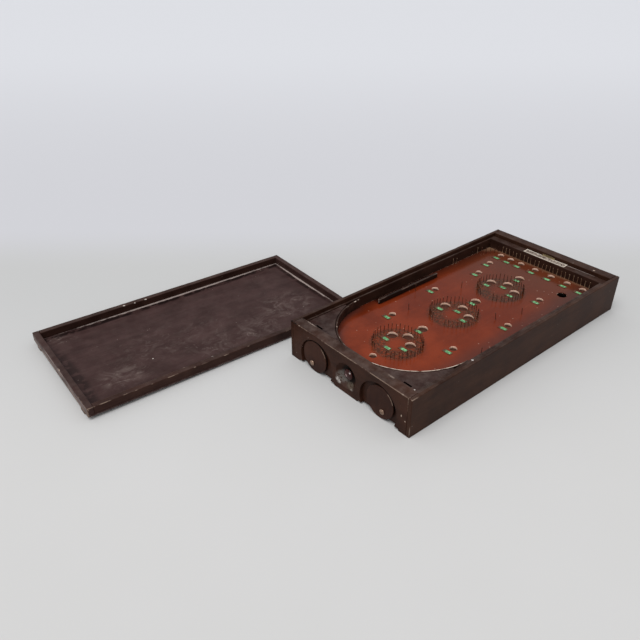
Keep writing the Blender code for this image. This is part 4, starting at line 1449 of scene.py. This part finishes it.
def build_lid():
    """The lid's panel, rails and tabs, in the lid's own frame."""
    half = TAB_THICKNESS / 2
    tab_x = (TAB_THICKNESS - LID_LENGTH) / 2
    tilt = atan(TAB_DROP / (lid_end - tab_x - half))
    near_reach = lid_side * cos(LID_YAW) - lid_end * sin(LID_YAW)
    place = (-half_length - LID_OFFSET, half_width + LID_STANDOFF + near_reach, lid_end * sin(tilt))
    matrix = Matrix.Translation(place) @ Euler((0.0, tilt, LID_YAW)).to_matrix().to_4x4()
    foot = LID_PANEL + GAP
    run = lid_inner_end - GAP
    top = LID_HEIGHT
    boards = [
        ("lid_panel", (-lid_end, -lid_side, 0.0), (lid_end, lid_side, LID_PANEL), "lid_panel", 0.0008),
        ("lid_rail_front", (-run, -lid_side, foot), (run, -lid_inner_side, top), "lid_x", 0.0012),
        ("lid_rail_back", (-run, lid_inner_side, foot), (run, lid_side, top), "lid_x", 0.0012),
        ("lid_rail_round", (-lid_end, -lid_side, foot), (-lid_inner_end, lid_side, top), "lid_y", 0.0012),
        ("lid_rail_square", (lid_inner_end, -lid_side, foot), (lid_end, lid_side, top), "lid_y", 0.0012),
    ]
    for name, turn in (("back", 1), ("front", -1)):
        low = (tab_x - half, turn * TAB_SPREAD - TAB_LENGTH / 2, -TAB_DROP)
        high = (tab_x + half, turn * TAB_SPREAD + TAB_LENGTH / 2, -0.0001)
        boards.append(("lid_tab_" + name, low, high, "tab", 0.0006))
    for node, low, high, paint, edge in boards:
        piece(node + "_wood", board_mesh(low, high, edge, lid_wear), paint, node, "lid", matrix=matrix)


def paint_hidden():
    """The bearers and washers keep their CAD shapes."""
    for node in ("bearer_round", "bearer_mid", "bearer_square"):
        frame["nodes"][node].material_slots[0].material = paints["bearer"]
    for node in ("washer_back", "washer_front"):
        frame["nodes"][node].material_slots[0].material = paints["steel"]


# Floor, light and camera


def build_stage():
    """A pale floor that fades into a paler background."""
    g = Graph("studio_floor")
    forward = g.blend((g.x, FLOOR_FORWARD[0]), (g.y, FLOOR_FORWARD[1]))
    g.base(g.span(g.noise(3.0, 3.0, 0.5), 0.0, 1.0), (211, 210, 208), (215, 214, 213))
    g.paint(g.band(forward, -0.55, 0.28), (201, 201, 200))
    g.paint(g.band(forward, 0.32, 0.62), (209, 209, 213))
    g.paint(g.band(forward, 0.7, 3.6), (221, 222, 226))
    bm = bmesh.new()
    bmesh.ops.create_grid(bm, x_segments=8, y_segments=8, size=FLOOR_REACH)
    floor = place_mesh("floor", bm)
    floor.data.materials.append(g.finish(0.8, Specular_IOR_Level=0.1))


def build_light():
    """Even light from all round and one broad soft lamp above."""
    scene = bpy.context.scene
    world = bpy.data.worlds.new("studio")
    world.use_nodes = True
    background = world.node_tree.nodes["Background"]
    background.inputs["Color"].default_value = SKY_COLOUR
    background.inputs["Strength"].default_value = SKY_STRENGTH
    scene.world = world
    lamp = bpy.data.lights.new("overhead", "SUN")
    lamp.energy = LAMP_ENERGY
    lamp.angle = LAMP_ANGLE
    thing = bpy.data.objects.new("overhead", lamp)
    thing.rotation_euler = Vector(LAMP_AIM).to_track_quat("-Z", "Y").to_euler()
    scene.collection.objects.link(thing)
    scene.view_settings.view_transform = "Standard"


def build_camera():
    camera = bpy.data.cameras.new("camera")
    camera.sensor_width = SENSOR
    camera.lens = FOCAL_PIXELS * SENSOR / PHOTO_SIZE
    camera.clip_start = 0.05
    camera.clip_end = 60.0
    thing = bpy.data.objects.new("camera", camera)
    turn = Matrix((CAMERA_RIGHT, CAMERA_UP, CAMERA_BACK)).transposed()
    thing.matrix_world = Matrix.Translation(CAMERA_PLACE) @ turn.to_4x4()
    bpy.context.scene.collection.objects.link(thing)
    bpy.context.scene.camera = thing


build_box_paints()
build_lid_paints()
build_other_paints()
build_rails()
build_round_end_rail()
build_arc_strip()
build_corner_block("back", 1)
build_corner_block("front", -1)
build_playfield()
build_nails()
build_labels()
build_end_label()
build_lane_rail()
for foot_name, foot_side in (("back", 1), ("front", -1)):
    build_foot(foot_name, foot_side)
    build_screw(foot_name, foot_side)
build_cue()
build_lid()
paint_hidden()
build_stage()
build_light()
build_camera()
